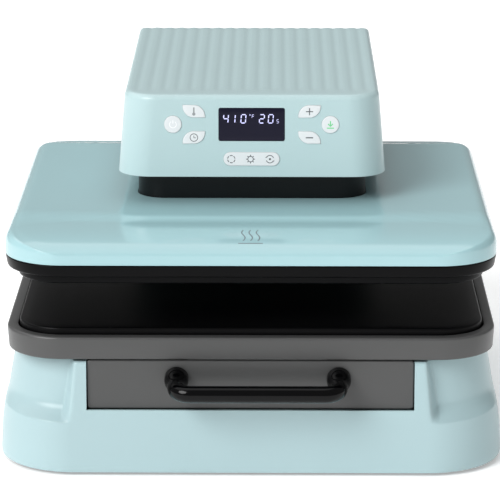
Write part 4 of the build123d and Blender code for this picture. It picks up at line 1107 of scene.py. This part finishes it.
def ink(name, rgb):
    """Thin matt pad-printing ink."""
    finish = Finish(name)
    speck = finish.noise(900.0, 2.0)
    finish.set("Base Color", finish.mix(speck, shade(*rgb, 0.94), shade(*rgb, 1.06)))
    finish.set("Roughness", 0.42 + speck * 0.12)
    finish.bump(speck, 0.05, 0.0001)
    return finish.material


grey_ink = ink("grey sign ink", (92, 98, 102))
light_ink = ink("light grey sign ink", (150, 154, 156))
green_ink = ink("green sign ink", (120, 214, 150))
pale_ink = ink("white sign ink", (254, 254, 255))

KEY_PROUD, KEY_FLANGE, KEY_BACK = 0.8, 1.2, 4.0
for name, points in KEY_OUTLINES.items():
    path = softened([
        (KEY_FLANGE, -KEY_BACK, 0), (KEY_FLANGE, KEY_FLANGE - KEY_BACK, 0.2), (0, KEY_FLANGE - KEY_BACK, 0.1),
        (0, KEY_PROUD - 0.12, 0.5), (-1.4, KEY_PROUD - 0.02, 0),
    ], steps=4)
    rings = [on_panel(grown(points, out), level) for out, level in path]
    middle = tuple(sum(p[i] for p in points) / len(points) for i in (0, 1))
    crown = [((a + middle[0]) / 2, (b + middle[1]) / 2) for a, b in points]
    rings.append(on_panel(crown, KEY_PROUD))
    stem = skin([on_panel(disc(*middle, 1.5, 16), level - KEY_BACK) for level in (-4.0, 0.2)])
    cap = piece(name + "_top", merged(skin(rings), stem), key_finish.material, 50.0)
    part_of(cap, name + "_cap", "key_white", name)


def stroke(points, width, closed=False, out=KEY_PROUD):
    """Printed line on the panel: a flat ribbon a few hundredths thick."""
    rows = []
    count = len(points)
    for i, here in enumerate(points):
        before = points[i - 1] if closed or i else here
        after = points[(i + 1) % count] if closed or i < count - 1 else here
        along = (Vector(after) - Vector(before)).normalized()
        side = Vector((-along.y, along.x)) * width / 2
        here = Vector(here)
        rows.append((here + side, here - side))
    rings = []
    for a, b in rows:
        rings.append([*on_panel([a, b], out - 0.05), *reversed(on_panel([a, b], out + 0.03))])
    return skin(rings, not closed, not closed, loop=closed)


def arc(x, up, radius, start, end, steps=16):
    """Points on an arc between two angles in degrees."""
    return [
        (x + radius * math.cos(math.radians(start + (end - start) * i / steps)),
         up + radius * math.sin(math.radians(start + (end - start) * i / steps)))
        for i in range(steps + 1)
    ]


def sign(name, body, slot, shapes, ink_material):
    """Printed shapes as one thin piece on a body, every face outward."""
    made = piece(name, merged(*shapes), ink_material)
    work = bmesh.new()
    work.from_mesh(made.data)
    bmesh.ops.recalc_face_normals(work, faces=work.faces)
    work.to_mesh(made.data)
    work.free()
    part_of(made, body, slot)


ring = arc(-ROUND_X, KEY_ROW, 2.9, 125, 415)
sign("power_sign", "power_key_cap", "key_white", [
    stroke(ring, 0.55), stroke([(-ROUND_X, KEY_ROW + 0.6), (-ROUND_X, KEY_ROW + 3.6)], 0.55),
], pale_ink)
top, low = KEY_ROW + LEAF_RISE, KEY_ROW - LEAF_RISE
sign("temperature_sign", "temperature_key_cap", "key_white", [
    stroke([(-LEAF_X, top - 1.0), (-LEAF_X, top + 3.4)], 1.2),
    stroke(disc(-LEAF_X, top - 2.2, 0.7, 16), 1.3, True),
], light_ink)
sign("time_sign", "time_key_cap", "key_white", [
    stroke(disc(-LEAF_X, low, 3.2, 32), 0.6, True),
    stroke([(-LEAF_X, low + 1.7), (-LEAF_X, low - 0.2), (-LEAF_X + 1.6, low - 0.2)], 0.6),
], grey_ink)
sign("plus_sign", "plus_key_cap", "key_white", [
    stroke([(LEAF_X - 3.0, top), (LEAF_X + 3.0, top)], 0.85),
    stroke([(LEAF_X, top - 3.0), (LEAF_X, top + 3.0)], 0.85),
], grey_ink)
sign("minus_sign", "minus_key_cap", "key_white", [
    stroke([(LEAF_X - 3.1, low), (LEAF_X + 3.1, low)], 1.0),
], grey_ink)
sign("start_sign", "start_key_cap", "key_white", [
    stroke([(ROUND_X - 3.0, KEY_ROW - 2.9), (ROUND_X + 3.0, KEY_ROW - 2.9)], 1.0),
    stroke([(ROUND_X, KEY_ROW + 3.2), (ROUND_X, KEY_ROW - 1.2)], 1.0),
    stroke([(ROUND_X - 2.0, KEY_ROW + 0.7), (ROUND_X, KEY_ROW - 1.4), (ROUND_X + 2.0, KEY_ROW + 0.7)], 1.0),
], green_ink)
RING_X, SUN_X, TURN_X = -17.2, -0.9, 15.5
mode_shapes = [stroke(arc(RING_X, MODE_ROW, 3.1, 60 * i + 8, 60 * i + 52, 6), 0.75) for i in range(6)]
mode_shapes.append(stroke(disc(SUN_X, MODE_ROW, 2.3, 32), 0.65, True))
for i in range(8):
    a = math.tau * i / 8
    ray = [(SUN_X + reach * math.cos(a), MODE_ROW + reach * math.sin(a)) for reach in (2.6, 3.7)]
    mode_shapes.append(stroke(ray, 0.75))
for start in (20, 200):
    mode_shapes.append(stroke(arc(TURN_X, MODE_ROW, 3.2, start, start + 135), 0.65))
    tip = arc(TURN_X, MODE_ROW, 3.1, start + 135, start + 136)[0]
    a = math.radians(start + 135)
    mode_shapes.append(stroke([
        (tip[0] + 1.1 * math.cos(a + 0.3), tip[1] + 1.1 * math.sin(a + 0.3)), tip,
        (tip[0] + 1.2 * math.cos(a - 1.2), tip[1] + 1.2 * math.sin(a - 1.2)),
    ], 0.45))
mode_shapes.append(stroke(disc(TURN_X, MODE_ROW, 0.5, 12), 0.9, True))
sign("mode_signs", "mode_key_cap", "key_white", mode_shapes, grey_ink)


# ---------------------------------------------------------------- Display
# A smoked, glossy window let into the panel. The platen's temperature and the pressing time are
# lit in violet-white segments, which are laid on the window's face.

smoked = worked(
    "smoked display window", (24, 23, 38), (31, 30, 47), 0.10, 0.05, 0.02, 0.0004,
    (14.0, 3.0), Specular_IOR_Level=0.12,
)
window_path = softened([(0, -2.0, 0), (0, 0, 0.25), (4, 0, 0)], steps=4)
half_w, half_h = WINDOW_SIZE[0] / 2, WINDOW_SIZE[1] / 2
rings = []
for inset, level in window_path:
    flat = outline(half_w - inset, half_h - inset, 1.5 if inset < 1 else 0.5, (0, KEY_ROW), corner=5)
    rings.append(on_panel(flat, level))
window = piece("display_glass", skin(rings), smoked)
part_of(window, "machine", "black_gloss", "display_window")

digit_finish = Finish("lit display segment", Emission_Strength=0.62)
lit = digit_finish.noise(300.0, 1.0)
digit_finish.set("Base Color", digit_finish.mix(lit, shade(190, 188, 240), shade(206, 204, 250)))
digit_finish.set("Emission Color", digit_finish.mix(lit, shade(196, 196, 240), shade(214, 214, 250)))
digit_finish.set("Roughness", 0.4 + lit * 0.1)
DIGIT_HIGH, DIGIT_WIDE, DIGIT_SLANT, SEGMENT = 7.1, 3.9, 0.08, 0.8
SEGMENTS = {"0": "abcdef", "1": "bc", "2": "abged", "4": "fgbc", "F": "afge", "s": "afgcd"}


def digit(symbol, x, up, height):
    """Seven-segment figure whose lower left corner is at x, up."""
    scale = height / DIGIT_HIGH
    w, h = DIGIT_WIDE * scale, height
    ends = {
        "a": ((0, h), (w, h)), "b": ((w, h), (w, h / 2)), "c": ((w, h / 2), (w, 0)), "d": ((0, 0), (w, 0)),
        "e": ((0, h / 2), (0, 0)), "f": ((0, h), (0, h / 2)), "g": ((0, h / 2), (w, h / 2)),
    }
    shapes = []
    for segment in SEGMENTS[symbol]:
        a, b = (Vector(end) for end in ends[segment])
        gap = (b - a).normalized() * SEGMENT * scale * 0.55
        a, b = a + gap, b - gap
        slanted = [(x + p.x + DIGIT_SLANT * p.y, up + p.y) for p in (a, b)]
        shapes.append(stroke(slanted, SEGMENT * scale, out=0.02))
    return shapes


shapes = []
DIGIT_LOW = KEY_ROW + 1.3
for symbol, x in (("4", -24.0), ("1", -18.2), ("0", -9.2), ("2", 6.4), ("0", 13.9)):
    shapes += digit(symbol, x, DIGIT_LOW, DIGIT_HIGH)
shapes += digit("F", 0.2, DIGIT_LOW + 4.0, 3.1)
shapes.append(stroke(disc(-1.4, DIGIT_LOW + 6.8, 0.4, 12), 0.3, True, 0.02))
shapes += digit("s", 21.0, DIGIT_LOW, 3.0)
sign("display_digits", "machine", "black_gloss", shapes, digit_finish.material)


# ---------------------------------------------------------------- Hot surface mark
# Three wavy lines over a bar, printed in grey on the cover's front slope.

heat_shapes = []
MARK_Y = cover_low.y + 12.0


def on_cover(points, lift):
    """Flat points laid on the cover's slope and lifted a little."""
    return [(x, MARK_Y + y, cover_height(MARK_Y + y, 40) + lift) for x, y in points]


def cover_stroke(points, width):
    """Printed line on the cover's slope."""
    rings = []
    for i, here in enumerate(points):
        before = Vector(points[max(i - 1, 0)])
        after = Vector(points[min(i + 1, len(points) - 1)])
        along = (after - before).normalized()
        side = Vector((-along.y, along.x)) * width / 2
        pair = [Vector(here) + side, Vector(here) - side]
        rings.append([*on_cover(pair, -0.05), *reversed(on_cover(pair, 0.04))])
    return skin(rings)


for x in (-6.0, 0.0, 6.0):
    wave = [(x + 1.5 * math.sin(t / 12 * math.tau), 8 + t * 2.2) for t in range(13)]
    heat_shapes.append(cover_stroke(wave, 1.0))
heat_shapes.append(cover_stroke([(-10 + 2 * i, 3.0) for i in range(11)], 1.4))
sign("heat_mark", "head", "mint_casing", heat_shapes, ink("heat mark ink", (116, 128, 132)))


# ---------------------------------------------------------------- Mains inlet and switch
# A three-pin appliance inlet and a rocker switch snap into the column's back, both in black
# plastic and the rocker glossy. The inlet's blades are part of its piece and black like it.

fitting_black = moulded("black fitting plastic", (22, 22, 23), 0.32, 800.0, 0.2)
paint(fitting_black, "power_inlet", "switch_housing")
paint(bakelite, "rocker")


# ---------------------------------------------------------------- Studio
# A plain pale floor, a soft key light from the front left, a weaker one from above, and a long lens.

floor_finish = Finish("pale studio floor", Emission_Strength=0.34)
paper = floor_finish.noise(30.0, 4.0)
floor_finish.set("Base Color", floor_finish.mix(paper, shade(247, 247, 247), shade(250, 250, 250)))
floor_finish.set("Emission Color", floor_finish.mix(paper, shade(250, 250, 250), shade(255, 255, 255)))
floor_finish.set("Roughness", 0.7 + paper * 0.1)
FLOOR_HALF = 9000
floor_corners = [(x * FLOOR_HALF, y * FLOOR_HALF, 0) for x, y in ((-1, -1), (1, -1), (1, 1), (-1, 1))]
floor = piece("floor", (floor_corners, [(0, 1, 2, 3)]), floor_finish.material)

world = bpy.data.worlds.new("studio")
world.use_nodes = True
world.node_tree.nodes["Background"].inputs["Color"].default_value = (1.0, 1.0, 1.0, 1.0)
world.node_tree.nodes["Background"].inputs["Strength"].default_value = 0.30
bpy.context.scene.world = world
bpy.context.scene.view_settings.view_transform = "Standard"


def sunlight(name, source, strength, spread):
    """Even, soft light from the direction of its source, as from a wide softbox far away."""
    lamp = bpy.data.lights.new(name, "SUN")
    lamp.energy, lamp.angle = strength, math.radians(spread)
    holder = bpy.data.objects.new(name, lamp)
    holder.rotation_euler = (-Vector(source)).to_track_quat("-Z", "Y").to_euler()
    bpy.context.scene.collection.objects.link(holder)


sunlight("key_light", (-0.95, -1.0, 1.0), 2.4, 34)
sunlight("top_light", (-0.3, 0.35, 1.0), 1.05, 70)

camera_data = bpy.data.cameras.new("camera")
camera_data.lens, camera_data.sensor_width = 216.0, 36.0
camera_data.clip_end = 50.0
camera = bpy.data.objects.new("camera", camera_data)
camera.location = (0.02022, -2.56239, 0.80200)
aim_side, aim_down = math.radians(0.5), math.radians(14.57)
looking = Vector((
    -math.sin(aim_side) * math.cos(aim_down), math.cos(aim_side) * math.cos(aim_down), -math.sin(aim_down)
))
camera.rotation_euler = looking.to_track_quat("-Z", "Y").to_euler()
bpy.context.scene.collection.objects.link(camera)
bpy.context.scene.camera = camera

bpy.context.view_layer.update()
